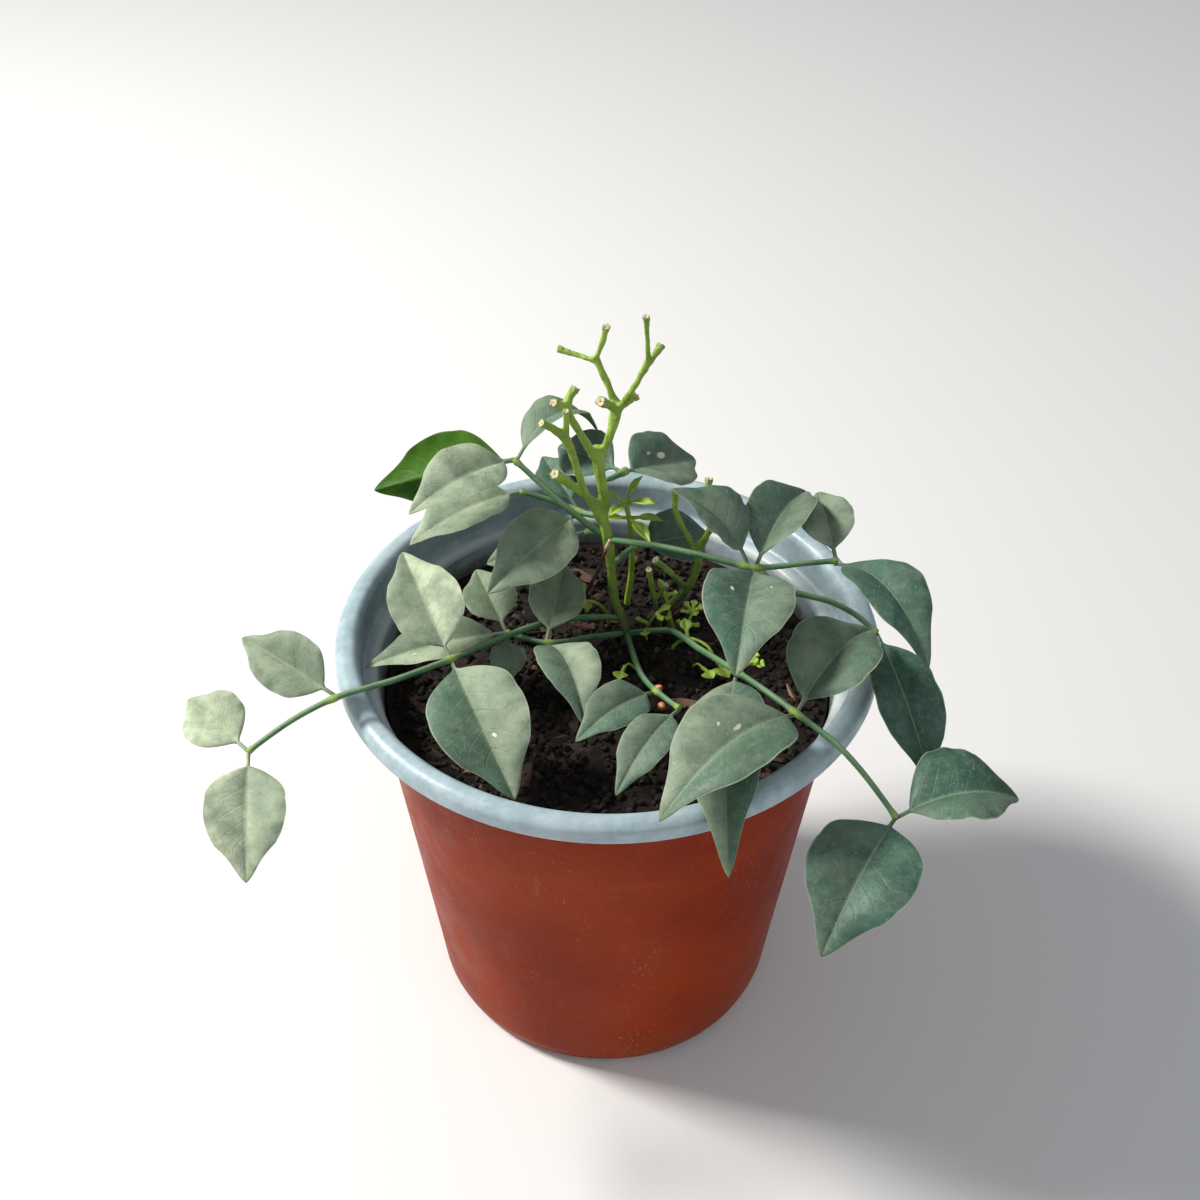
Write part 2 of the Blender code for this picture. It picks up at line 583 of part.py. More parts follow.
def main():
    remove_scene_objects()
    stem_green = material("stem", (0.12, 0.22, 0.03), 0.55)
    stalk_green = material("leaf_stalk", (0.08, 0.17, 0.05), 0.5)
    leaf_green = material("leaflet", (0.09, 0.16, 0.09), 0.6)
    fresh_green = material("fresh_shoot", (0.30, 0.45, 0.04), 0.5)
    dead_brown = material("dead_twig", (0.12, 0.05, 0.03), 0.8)
    rooted = {
        "main_stem": (MAIN_STEM, stem_green, ()),
        "second_stem": (SECOND_STEM, stem_green, ()),
        "thin_stem": (THIN_STEM, stem_green, ()),
        "young_shoot": (YOUNG_SHOOT, fresh_green, YOUNG_SHOOT_LEAVES),
        "dead_twig": (DEAD_TWIG, dead_brown, ()),
        "seedling": (SEEDLING, fresh_green, SEEDLING_LEAVES),
        "sprig": (SPRIG, fresh_green, SPRIG_LEAVES),
    }
    make_pot()
    make_soil([make_socket(name, branches) for name, (branches, _, _) in rooted.items()])
    for name, (branches, finish, leaves) in rooted.items():
        make_stem(name, branches, finish, leaves)
    for name in STALKS:
        make_stalk(name, stalk_green)
    for name, values in LEAFLETS.items():
        make_leaflet(name, values, leaf_green)


main()
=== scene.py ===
"""A young pandorea vine in its two-colour nursery pot.

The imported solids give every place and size; this script makes the surfaces
that are seen.  Lengths are worked out in millimetres and turned to metres
when a mesh is made.
"""
import math

import bmesh
import bpy
import numpy as np
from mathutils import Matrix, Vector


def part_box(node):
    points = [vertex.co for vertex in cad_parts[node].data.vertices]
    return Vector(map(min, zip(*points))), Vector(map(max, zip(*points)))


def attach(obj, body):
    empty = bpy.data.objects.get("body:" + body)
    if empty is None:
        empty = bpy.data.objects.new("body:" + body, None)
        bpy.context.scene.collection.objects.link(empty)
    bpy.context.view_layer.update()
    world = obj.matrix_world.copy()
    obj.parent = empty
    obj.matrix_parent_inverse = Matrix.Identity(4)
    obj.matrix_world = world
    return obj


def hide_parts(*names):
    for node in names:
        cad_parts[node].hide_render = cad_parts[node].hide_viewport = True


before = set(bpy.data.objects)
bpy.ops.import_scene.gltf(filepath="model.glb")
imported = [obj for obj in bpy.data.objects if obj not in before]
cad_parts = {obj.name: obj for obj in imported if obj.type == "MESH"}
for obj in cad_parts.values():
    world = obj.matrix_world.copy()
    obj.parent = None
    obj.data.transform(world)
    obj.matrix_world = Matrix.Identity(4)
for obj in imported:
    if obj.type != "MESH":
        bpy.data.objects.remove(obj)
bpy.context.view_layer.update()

# --------------------------------------------------------------------------
# The pot is one sheet of two-layer polypropylene, brick red outside and grey
# inside, drawn over a mould.  Its lip is rolled outward, so the grey layer
# shows on top of it and down its outer face.
# --------------------------------------------------------------------------
MM = 0.001


def new_piece(name, points, faces, finishes, uv=None, values=None, smooth_angle=50.0):
    """A mesh object at the origin from points in millimetres.

    faces is a list of index arrays, each of quads or of triangles; uv holds
    one pair to a point and values maps an attribute's name to one number to
    a point.
    """
    mesh = bpy.data.meshes.new(name)
    faces = [face for block in faces for face in block.tolist()]
    mesh.from_pydata((points * MM).tolist(), [], faces)
    corners = np.empty(len(mesh.loops), dtype=np.int32)
    mesh.loops.foreach_get("vertex_index", corners)
    if uv is not None:
        layer = mesh.uv_layers.new(name="UVMap")
        layer.data.foreach_set("uv", uv[corners].astype(np.float32).ravel())
    for label, numbers in (values or {}).items():
        carried = mesh.attributes.new(label, "FLOAT", "POINT")
        carried.data.foreach_set("value", numbers.astype(np.float32))
    for finish in finishes:
        mesh.materials.append(finish)
    mesh.shade_smooth()
    mesh.set_sharp_from_angle(angle=math.radians(smooth_angle))
    piece = bpy.data.objects.new(name, mesh)
    bpy.context.scene.collection.objects.link(piece)
    return piece


def settle(piece, slot, *nodes):
    """The piece rides on the one body and stands for its nodes; its slot is not used."""
    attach(piece, "root")
    if nodes:
        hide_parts(*nodes)
    return piece


def quads(index):
    """Quads of a grid of point numbers: from (i, j) to (i+1, j), (i+1, j+1) and (i, j+1)."""
    corners = index[:-1, :-1], index[1:, :-1], index[1:, 1:], index[:-1, 1:]
    return np.stack(corners, axis=-1).reshape(-1, 4)


def fan(centre, ring):
    """Triangles from one point to each step of a closed ring of point numbers."""
    return np.stack([np.full(len(ring), centre), ring, np.roll(ring, -1)], axis=-1)


CORNER_STEPS = 5


def rounded(profile, reach):
    """A line with its inner corners rounded.

    Each corner P gives the parabola (1-t)^2 A + 2t(1-t) P + t^2 B, where A
    and B lie on its two sides, reach away or 45% of the side if that is less.
    """
    profile = np.asarray(profile, float)
    sides = np.diff(profile, axis=0)
    lengths = np.linalg.norm(sides, axis=1)
    cut = np.minimum(reach, 0.45 * lengths)[:, None] * sides / lengths[:, None]
    corner, before, after = profile[1:-1], profile[1:-1] - cut[:-1], profile[1:-1] + cut[1:]
    t = np.linspace(0.0, 1.0, CORNER_STEPS)[None, :, None]
    arcs = (1 - t) ** 2 * before[:, None] + 2 * t * (1 - t) * corner[:, None] + t**2 * after[:, None]
    return np.vstack([profile[:1], arcs.reshape(-1, 2), profile[-1:]])


def turned(profile, sides, wobble=None):
    """A profile (radius, height) carried round Z: x = r cos a, y = r sin a, z = h.

    The first and last points lie on the axis and become poles.  wobble(a, r,
    h) is added to the radius.
    """
    turns = np.linspace(0.0, 2 * np.pi, sides, endpoint=False)
    radius, height = profile[1:-1, :1], profile[1:-1, 1:]
    reach = radius + (wobble(turns[None, :], radius, height) if wobble else 0.0 * turns[None, :])
    grid = np.stack([reach * np.cos(turns), reach * np.sin(turns), height + 0 * reach], axis=-1)
    rows = len(profile) - 2
    index = np.arange(rows * sides).reshape(rows, sides)
    around = np.hstack([index, index[:, :1]])
    poles = np.array([[0.0, 0.0, profile[0, 1]], [0.0, 0.0, profile[-1, 1]]])
    points = np.vstack([grid.reshape(-1, 3), poles])
    faces = [quads(around)[:, ::-1], fan(rows * sides, index[0][::-1]), fan(rows * sides + 1, index[-1])]
    return points, faces


def feed(tree, socket, value):
    """Links an input to another node's output, or sets its number, vector or colour."""
    if isinstance(value, bpy.types.NodeSocket):
        tree.links.new(value, socket)
    elif socket.type == "RGBA":
        socket.default_value = (*value, 1.0)
    else:
        socket.default_value = value


def node(tree, kind, inputs=None, **settings):
    """A shader node; each input is a number, a vector, a colour or another node's socket."""
    made = tree.nodes.new(kind)
    for key, value in settings.items():
        setattr(made, key, value)
    for key, value in (inputs or {}).items():
        feed(tree, made.inputs[key], value)
    return made


def calc(tree, operation, first, second=0.0, third=0.0):
    """The result of one sum on one to three values."""
    return node(tree, "ShaderNodeMath", {0: first, 1: second, 2: third}, operation=operation).outputs[0]


def blend(tree, share, first, second):
    """Two colours mixed by a share."""
    return node(tree, "ShaderNodeMix", {0: share, 6: first, 7: second}, data_type="RGBA").outputs[2]


def step_between(tree, value, low, high, to_low=0.0, to_high=1.0):
    """A value carried smoothly from the range low..high to the range to_low..to_high."""
    inputs = {0: value, 1: low, 2: high, 3: to_low, 4: to_high}
    return node(tree, "ShaderNodeMapRange", inputs, interpolation_type="SMOOTHSTEP").outputs[0]


def tint(tree, base, *layers):
    """A colour with others laid over it in turn, each by its mask times its strength."""
    for mask, strength, colour in layers:
        base = blend(tree, calc(tree, "MULTIPLY", mask, strength), base, colour)
    return base


def height_above(tree, place):
    """The height of a point in metres."""
    return node(tree, "ShaderNodeSeparateXYZ", {0: place}).outputs[2]


def noise(tree, vector, scale, detail=3.0, rough=0.55, distort=0.0):
    """Cloudy noise from 0 to 1."""
    inputs = {"Vector": vector, "Scale": scale, "Detail": detail, "Roughness": rough, "Distortion": distort}
    return node(tree, "ShaderNodeTexNoise", inputs).outputs[0]


def stretched(tree, vector, scale):
    """Coordinates scaled by three factors."""
    return node(tree, "ShaderNodeMapping", {"Vector": vector, "Scale": scale}).outputs[0]


def new_group(name, inputs, outputs):
    """An empty shader group with named number or vector inputs and number outputs."""
    group = bpy.data.node_groups.new(name, "ShaderNodeTree")
    for label, kind, value in inputs:
        socket = group.interface.new_socket(label, in_out="INPUT", socket_type=kind)
        if value is not None:
            socket.default_value = value
    for label in outputs:
        group.interface.new_socket(label, in_out="OUTPUT", socket_type="NodeSocketFloat")
    return group, group.nodes.new("NodeGroupInput").outputs, group.nodes.new("NodeGroupOutput").inputs


def new_material(name):
    """A material with one Principled shader, and its Object coordinates."""
    made = bpy.data.materials.new(name)
    made.use_nodes = True
    tree = made.node_tree
    shader = tree.nodes["Principled BSDF"]
    place = tree.nodes.new("ShaderNodeTexCoord").outputs["Object"]
    return made, tree, shader, place


def dress(tree, shader, colour, rough, shine=0.5):
    """Sets a shader's colour, roughness and specular level."""
    for key, value in (("Base Color", colour), ("Roughness", rough), ("Specular IOR Level", shine)):
        feed(tree, shader.inputs[key], value)


def relief(tree, shader, height, distance, strength):
    """Turns a height from 0 to 1, worth a distance in metres, into the shader's normal."""
    made = node(tree, "ShaderNodeBump", {"Strength": strength, "Distance": distance, "Height": height})
    tree.links.new(made.outputs[0], shader.inputs["Normal"])


def placed(tree, group, inputs):
    """The outputs of a shader group set in a material with its own values."""
    made = tree.nodes.new("ShaderNodeGroup")
    made.node_tree = group
    for key, value in inputs.items():
        feed(tree, made.inputs[key], value)
    return made.outputs


# Fine grit: scattered pale grains where a cell's middle is close, thinned by
# a broad cloud so that they gather in drifts.
grit, given, out = new_group(
    "fine_grit",
    [("Vector", "NodeSocketVector", None), ("Grains", "NodeSocketFloat", 900.0),
     ("Size", "NodeSocketFloat", 0.18), ("Amount", "NodeSocketFloat", 0.5)],
    ["Mask"],
)
cells = node(grit, "ShaderNodeTexVoronoi", {"Vector": given["Vector"], "Scale": given["Grains"]}).outputs[0]
grain = step_between(grit, cells, given["Size"], calc(grit, "MULTIPLY", given["Size"], 0.4))
drift = noise(grit, given["Vector"], calc(grit, "MULTIPLY", given["Grains"], 0.09), 4.0)
drift = step_between(grit, drift, calc(grit, "SUBTRACT", 1.0, given["Amount"]), 1.0)
grit.links.new(calc(grit, "MULTIPLY", grain, drift), out["Mask"])


def gritty(tree, place, grains, size, amount):
    """The mask of fine grit, from its cells to a metre, a grain's size in its cell and the share covered."""
    return placed(tree, grit, {"Vector": place, "Grains": grains, "Size": size, "Amount": amount})["Mask"]


# Dry water marks: a cloud with a sharp inner rim, which leaves pale outlines.
marks, given, out = new_group(
    "water_marks",
    [("Vector", "NodeSocketVector", None), ("Scale", "NodeSocketFloat", 60.0),
     ("Amount", "NodeSocketFloat", 0.5)],
    ["Mask", "Cloud"],
)
cloud = noise(marks, given["Vector"], given["Scale"], 6.0, 0.6, 0.4)
rim_of_mark = step_between(marks, calc(marks, "ABSOLUTE", calc(marks, "SUBTRACT", cloud, 0.52)), 0.035, 0.0)
marks.links.new(calc(marks, "MULTIPLY", rim_of_mark, given["Amount"]), out["Mask"])
marks.links.new(step_between(marks, cloud, 0.45, 0.75), out["Cloud"])

pot_high = np.array(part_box("pot")[1]) / MM
RIM_RADIUS, POT_HEIGHT = pot_high[0], pot_high[2]
WALL = 1.3
LIP_WIDTH = 5.5
LIP_HEIGHT = 6.0
LIP_SKIRT = 1.2
COLLAR_HEIGHT = 13.0
LEDGE_WIDTH = 4.5
WALL_TAPER = 12.5
FOOT_CHAMFER = 5.5
FOOT_ROUND_HEIGHT = 18.0
POT_SIDES = 240
COLLAR_RADIUS = RIM_RADIUS - LIP_WIDTH
WALL_TOP_RADIUS = COLLAR_RADIUS - LEDGE_WIDTH
WALL_FOOT_RADIUS = WALL_TOP_RADIUS - WALL_TAPER
FOOT_RADIUS = WALL_FOOT_RADIUS - FOOT_CHAMFER
LEDGE = POT_HEIGHT - COLLAR_HEIGHT

pot_outside = [
    (0.0, 0.0), (FOOT_RADIUS - 5.0, 0.0), (FOOT_RADIUS, 0.0),
    (FOOT_RADIUS + 0.45 * FOOT_CHAMFER, 0.10 * FOOT_ROUND_HEIGHT),
    (FOOT_RADIUS + 0.75 * FOOT_CHAMFER, 0.35 * FOOT_ROUND_HEIGHT),
    (WALL_FOOT_RADIUS, FOOT_ROUND_HEIGHT),
    (0.5 * (WALL_FOOT_RADIUS + WALL_TOP_RADIUS), 0.5 * (FOOT_ROUND_HEIGHT + LEDGE)),
    (WALL_TOP_RADIUS, LEDGE - 1.0), (WALL_TOP_RADIUS + 1.0, LEDGE), (COLLAR_RADIUS - 0.6, LEDGE + 0.5),
    (COLLAR_RADIUS, LEDGE + 1.6), (COLLAR_RADIUS + 0.3, POT_HEIGHT - 2.2),
]
pot_inside = [
    (RIM_RADIUS - LIP_SKIRT - 0.4, POT_HEIGHT - 2.2),
    (RIM_RADIUS - LIP_SKIRT, POT_HEIGHT - 3.0), (RIM_RADIUS - LIP_SKIRT, POT_HEIGHT - LIP_HEIGHT),
    (RIM_RADIUS, POT_HEIGHT - LIP_HEIGHT), (RIM_RADIUS, POT_HEIGHT - 1.6), (RIM_RADIUS - 2.0, POT_HEIGHT),
    (COLLAR_RADIUS + 0.6, POT_HEIGHT), (COLLAR_RADIUS - WALL + 0.2, POT_HEIGHT - 1.8),
    (COLLAR_RADIUS - WALL, LEDGE + WALL + 1.2), (WALL_TOP_RADIUS - WALL + 0.6, LEDGE + WALL),
    (WALL_TOP_RADIUS - WALL, LEDGE - 0.6), (WALL_FOOT_RADIUS - WALL, FOOT_ROUND_HEIGHT),
    (FOOT_RADIUS + 0.75 * FOOT_CHAMFER - WALL, 0.35 * FOOT_ROUND_HEIGHT + 0.3 * WALL),
    (FOOT_RADIUS - 0.5 * WALL, WALL), (0.0, WALL),
]
pot_profile = rounded(pot_outside + pot_inside, 1.1)


def pot_wobble(turn, radius, height):
    """The thin wall's slight loss of roundness: two slow waves that grow with height."""
    share = height / POT_HEIGHT
    return share**2 * (0.22 * np.sin(2 * turn + 0.7) + 0.12 * np.sin(5 * turn + 2.0)) * (radius > 30)


# Red plastic: chalky scuffs, handling scratches and soil dust on the foot.
pot_red, tree, shader, place = new_material("pot_red_plastic")
broad = noise(tree, place, 22.0, 4.0)
scuff = step_between(tree, noise(tree, stretched(tree, place, (55, 55, 150)), 1.0, 6.0, 0.62), 0.56, 0.80)
height_of = height_above(tree, place)
streaks = noise(tree, stretched(tree, place, (300, 300, 20)), 1.0, 3.0)
near_foot = step_between(tree, height_of, 20 * MM, 0.0)
foot_dust = calc(tree, "MULTIPLY", near_foot, step_between(tree, broad, 0.3, 0.7))
specks = gritty(tree, place, 620.0, 0.22, 0.58)
wet = placed(tree, marks, {"Vector": place, "Scale": 34.0, "Amount": 0.012})
red = tint(
    tree, blend(tree, step_between(tree, broad, 0.35, 0.7), (0.215, 0.019, 0.0018), (0.300, 0.034, 0.0040)),
    (scuff, 0.16, (0.50, 0.16, 0.08)),
    (step_between(tree, height_of, (LEDGE - 3) * MM, (LEDGE + 1) * MM), 0.60, (0.150, 0.028, 0.018)),
    (step_between(tree, streaks, 0.60, 0.85), 0.12, (0.52, 0.20, 0.13)),
    (foot_dust, 0.3, (0.42, 0.16, 0.09)),
    (specks, 0.75, (0.75, 0.55, 0.45)),
    (wet["Mask"], 1.0, (0.66, 0.36, 0.27)),
)
gloss = step_between(tree, noise(tree, place, 90.0), 0.3, 0.7, 0.34, 0.46)
dress(tree, shader, red, calc(tree, "MULTIPLY_ADD", scuff, 0.25, gloss), 0.06)
fine = noise(tree, stretched(tree, place, (160, 160, 60)), 1.0, 5.0)
relief(tree, shader, calc(tree, "MULTIPLY_ADD", specks, 0.4, fine), 0.0004, 0.5)

# Grey plastic: bluish, with dried water marks, dust, a band of soil splash just
# above the mix, and a painted highlight: a pale line along the ledge step.
pot_grey, tree, shader, place = new_material("pot_grey_plastic")
broad = noise(tree, place, 130.0, 6.0, 0.7)
height_of = height_above(tree, place)
splash = noise(tree, stretched(tree, place, (45, 45, 120)), 1.0, 6.0, 0.65)
splash = calc(tree, "MULTIPLY", step_between(tree, height_of, (LEDGE + 4) * MM, (LEDGE - 6) * MM),
              step_between(tree, splash, 0.35, 0.68))
off_band = calc(tree, "ABSOLUTE", calc(tree, "SUBTRACT", height_of, (LEDGE - 7) * MM))
band = calc(tree, "MULTIPLY", step_between(tree, off_band, 4.5 * MM, 2.0 * MM),
            step_between(tree, broad, 0.25, 0.6))
off_ledge_highlight = calc(tree, "ABSOLUTE", calc(tree, "SUBTRACT", height_of, (LEDGE + 0.8) * MM))
wet = placed(tree, marks, {"Vector": place, "Scale": 75.0, "Amount": 0.12})
specks = gritty(tree, place, 700.0, 0.22, 0.60)
grey = tint(
    tree, blend(tree, step_between(tree, broad, 0.3, 0.7), (0.265, 0.365, 0.415), (0.405, 0.515, 0.565)),
    (splash, 0.85, (0.040, 0.036, 0.034)),
    (band, 0.7, (0.115, 0.088, 0.066)),
    # Painted highlight: a pale line along the ledge step, where sunlight would catch it.
    (step_between(tree, off_ledge_highlight, 1.4 * MM, 0.7 * MM), 0.7, (0.66, 0.70, 0.70)),
    (wet["Mask"], 1.0, (0.62, 0.66, 0.66)),
    (wet["Cloud"], 0.25, (0.50, 0.53, 0.52)),
    (specks, 0.6, (0.80, 0.80, 0.76)),
    (gritty(tree, place, 430.0, 0.22, 0.50), 0.8, (0.05, 0.04, 0.03)),
)
dress(tree, shader, grey, step_between(tree, noise(tree, place, 110.0), 0.3, 0.7, 0.34, 0.55))
fine = noise(tree, stretched(tree, place, (200, 200, 200)), 1.0, 5.0)
relief(tree, shader, calc(tree, "MULTIPLY_ADD", specks, 0.4, fine), 0.0004, 0.45)

pot_points, pot_faces = turned(pot_profile, POT_SIDES, pot_wobble)
pot = new_piece("pot_moulding", pot_points, pot_faces, [pot_red, pot_grey], smooth_angle=38)
# The grey layer starts at the underside of the lip.
rows_outside = 1 + CORNER_STEPS * (len(pot_outside) - 1)
layer = np.zeros(len(pot.data.polygons), dtype=np.int32)
ring_rows = len(pot_profile) - 3
layer[rows_outside * POT_SIDES:ring_rows * POT_SIDES] = 1
layer[-POT_SIDES:] = 1
pot.data.polygons.foreach_set("material_index", layer)

# Drain openings at the foot: four wide arches and four narrow notches.
DRAINS = [(33.7 + 90 * turn, 30.0) for turn in range(4)] + [(-1.3 + 90 * turn, 6.0) for turn in range(4)]
DRAIN_HEIGHT = 2.6
DRAIN_DEPTH = 4.0


def drain_block(centre, width, steps=14):
    """A curved block under an arch: height = top * (1 - |s|^4)^(1/4) over s from -1 to 1."""
    share = np.linspace(-0.985, 0.985, steps + 1)
    turns = np.radians(centre + 0.5 * width * share)
    top = DRAIN_HEIGHT * (1 - share**4) ** 0.25
    near, far = FOOT_RADIUS - DRAIN_DEPTH, FOOT_RADIUS + 2 * FOOT_CHAMFER
    reach = np.array([near, far, far, near])[None, :]
    height = np.stack([-1 + 0 * top, -1 + 0 * top, top, top], axis=1)
    grid = np.stack([reach * np.cos(turns)[:, None], reach * np.sin(turns)[:, None], height], axis=-1)
    index = np.arange(4 * (steps + 1)).reshape(-1, 4)
    faces = [quads(np.hstack([index, index[:, :1]])), index[:1], index[-1:, ::-1]]
    return grid.reshape(-1, 3), faces


def applied(piece):
    """The piece with its modifiers made part of its mesh."""
    depsgraph = bpy.context.evaluated_depsgraph_get()
    mesh = bpy.data.meshes.new_from_object(piece.evaluated_get(depsgraph), depsgraph=depsgraph)
    piece.modifiers.clear()
    piece.data = mesh
    return piece


blocks = []
for centre, width in DRAINS:
    block = new_piece("drain_block", *drain_block(centre, width), [])
    cut = pot.modifiers.new("drain", "BOOLEAN")
    cut.operation = "DIFFERENCE"
    cut.object = block
    blocks.append(block)
applied(pot)
for block in blocks:
    bpy.data.objects.remove(block, do_unlink=True)
settle(pot, "pot", "pot")

# --------------------------------------------------------------------------
# The potting mix is dark peat and coir with composted bark, watered down to
# a lumpy surface a little under the ledge.  It fills the pot.
# --------------------------------------------------------------------------
mix_low, mix_high = (np.array(corner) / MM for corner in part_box("potting_mix"))
SOIL_EDGE = mix_high[0]
SOIL_LEVEL = mix_high[2] - 1.2


def lattice_noise(x, y, cell, seed):
    """Smooth bumps of one size: random heights on a square lattice, joined by 3t^2 - 2t^3."""
    heights = np.random.default_rng(seed).uniform(-1, 1, (128, 128))
    column, row = np.floor(x / cell).astype(int), np.floor(y / cell).astype(int)
    across, up = x / cell - column, y / cell - row
    across, up = across**2 * (3 - 2 * across), up**2 * (3 - 2 * up)
    left, right = column % 128, (column + 1) % 128
    near, far = (heights[line % 128, left] * (1 - across) + heights[line % 128, right] * across
                 for line in (row, row + 1))
    return near * (1 - up) + far * up


# Bumps of the mix: how wide, how high, and the seed of each.
SOIL_BUMPS = ((21, 0.9, 1), (9, 1.0, 2), (4.2, 0.75, 3), (2.1, 0.42, 4), (1.1, 0.2, 5))


def soil_top(x, y):
    """Height of the mix: bumps of five sizes, calmer at the wall."""
    calm = np.clip(1.15 - (np.hypot(x, y) / SOIL_EDGE) ** 6, 0.15, 1.0)
    bumps = sum(size * lattice_noise(x, y, cell, seed) for cell, size, seed in SOIL_BUMPS)
    return SOIL_LEVEL + calm * bumps


SOIL_RINGS = 120
SOIL_SIDES = 240
shares = np.linspace(1.0, 0.012, SOIL_RINGS) ** 0.8
soil_profile = np.vstack([
    [(0.0, mix_low[2]), (FOOT_RADIUS - 1.6, mix_low[2]), (WALL_FOOT_RADIUS - 2.0, FOOT_ROUND_HEIGHT)],
    np.stack([SOIL_EDGE * shares, np.full(SOIL_RINGS, SOIL_LEVEL)], axis=1),
    [(0.0, SOIL_LEVEL)],
])
soil_points, soil_faces = turned(soil_profile, SOIL_SIDES)
on_top = soil_points[:, 2] > SOIL_LEVEL - 0.1
soil_points[on_top, 2] = soil_top(soil_points[on_top, 0], soil_points[on_top, 1])

peat, tree, shader, place = new_material("peat")
broad = noise(tree, place, 130.0, 6.0, 0.7)
fibre = noise(tree, stretched(tree, place, (1500, 260, 400)), 1.0, 4.0, 0.6, 1.5)
dark = tint(
    tree, blend(tree, step_between(tree, broad, 0.35, 0.72), (0.0055, 0.0040, 0.0034), (0.030, 0.019, 0.014)),
    (step_between(tree, fibre, 0.62, 0.80), 0.55, (0.085, 0.048, 0.030)),
    (gritty(tree, place, 800.0, 0.2, 0.42), 0.5, (0.20, 0.16, 0.12)),
)
dress(tree, shader, dark, step_between(tree, broad, 0.3, 0.7, 0.72, 0.98), 0.3)
relief(tree, shader, noise(tree, place, 900.0, 6.0, 0.7), 0.0008, 0.9)
soil = new_piece("peat_surface", soil_points, soil_faces, [peat], smooth_angle=180)
settle(soil, "potting_mix", "potting_mix")


def scattered(rng, count, corners, faces, sizes, sink=0.3):
    """Copies of one small shape on the mix: each corner jittered, scaled on three axes and turned.

    corners is (n, 3).  Places are even over the disc, and a copy's height is
    that of the mix plus sink times its own scale.
    """
    reach = np.sqrt(rng.uniform(0.0, (SOIL_EDGE - 2.5) ** 2, count))
    turn = rng.uniform(0, 2 * np.pi, count)
    x, y = reach * np.cos(turn), reach * np.sin(turn)
    scale = rng.uniform(*sizes[0], (count, 1)) * rng.uniform(*sizes[1], (count, 3))
    jitter = 1 + rng.uniform(-0.28, 0.28, (count, len(corners), 1))
    local = corners[None] * jitter * scale[:, None]
    yaw, tilt = rng.uniform(0, 2 * np.pi, count), rng.normal(0, 0.45, count)
    c, s, ct, st = np.cos(yaw), np.sin(yaw), np.cos(tilt), np.sin(tilt)
    zero, one = 0 * c, 1 + 0 * c
    spin = np.array([[c, -s, zero], [s, c, zero], [zero, zero, one]]).transpose(2, 0, 1)
    lean = np.array([[one, zero, zero], [zero, ct, -st], [zero, st, ct]]).transpose(2, 0, 1)
    local = np.einsum("nij,njk,nmk->nmi", spin, lean, local)
    centre = np.stack([x, y, soil_top(x, y) + sink * scale[:, 2]], axis=1)
    points = (local + centre[:, None]).reshape(-1, 3)
    offset = (np.arange(count) * len(corners))[:, None, None]
    tone = np.repeat(rng.uniform(0, 1, count), len(corners))
    return points, [(faces[None] + offset).reshape(-1, faces.shape[1])], tone


def carried_value(tree, label):
    """A value that the mesh carries at its points."""
    return node(tree, "ShaderNodeAttribute", attribute_name=label).outputs["Fac"]


# Crumbs: twelve-cornered lumps of peat.
golden = (1 + math.sqrt(5)) / 2
lump_corners = np.array([(-1, golden, 0), (1, golden, 0), (-1, -golden, 0), (1, -golden, 0), (0, -1, golden),
                         (0, 1, golden), (0, -1, -golden), (0, 1, -golden), (golden, 0, -1), (golden, 0, 1),
                         (-golden, 0, -1), (-golden, 0, 1)]) / math.sqrt(1 + golden**2)
lump_faces = np.array([(0, 11, 5), (0, 5, 1), (0, 1, 7), (0, 7, 10), (0, 10, 11), (1, 5, 9), (5, 11, 4),
                       (11, 10, 2), (10, 7, 6), (7, 1, 8), (3, 9, 4), (3, 4, 2), (3, 2, 6), (3, 6, 8),
                       (3, 8, 9), (4, 9, 5), (2, 4, 11), (6, 2, 10), (8, 6, 7), (9, 8, 1)])
rng = np.random.default_rng(11)
points, faces, tone = scattered(rng, 2600, lump_corners, lump_faces, ((0.35, 1.5), (0.7, 1.25)))
crumb, tree, shader, place = new_material("peat_crumb")
shade = carried_value(tree, "tone")
mottle = noise(tree, place, 900.0, 4.0)
crumb_colour = tint(
    tree, blend(tree, step_between(tree, shade, 0.2, 1.0), (0.0040, 0.0030, 0.0026), (0.028, 0.018, 0.013)),
    (step_between(tree, shade, 0.95, 0.995), 0.7, (0.16, 0.10, 0.065)),
    (step_between(tree, mottle, 0.4, 0.75), 0.5, (0.055, 0.038, 0.028)),
)
dress(tree, shader, crumb_colour, step_between(tree, mottle, 0.3, 0.7, 0.7, 0.98), 0.3)
relief(tree, shader, noise(tree, place, 1600.0, 4.0, 0.7), 0.0004, 0.8)
crumbs = new_piece("peat_crumbs", points, faces, [crumb], values={"tone": tone}, smooth_angle=60)
settle(crumbs, "potting_mix")

# Bark: flat splinters with worn ends.
chip_corners = np.array([(x, y, z) for x in (-1.0, -0.45, 0.3, 1.0) for y, z in
                         ((-0.40, -0.13), (0.40, -0.10), (0.36, 0.14), (-0.38, 0.11))])
chip_corners[:4] *= (1, 0.45, 0.7)
chip_corners[-4:] *= (1, 0.55, 0.6)
chip_ring = np.arange(16).reshape(4, 4)
chip_faces = [quads(np.hstack([chip_ring, chip_ring[:, :1]])), chip_ring[:1], chip_ring[-1:, ::-1]]
chip_faces = np.vstack(chip_faces)[:, ::-1]
points, faces, tone = scattered(rng, 120, chip_corners, chip_faces, ((0.9, 4.2), (0.75, 1.2)), 0.16)
bark, tree, shader, place = new_material("composted_bark")
shade = carried_value(tree, "tone")
grain = noise(tree, stretched(tree, place, (900, 900, 900)), 1.0, 5.0, 0.65)
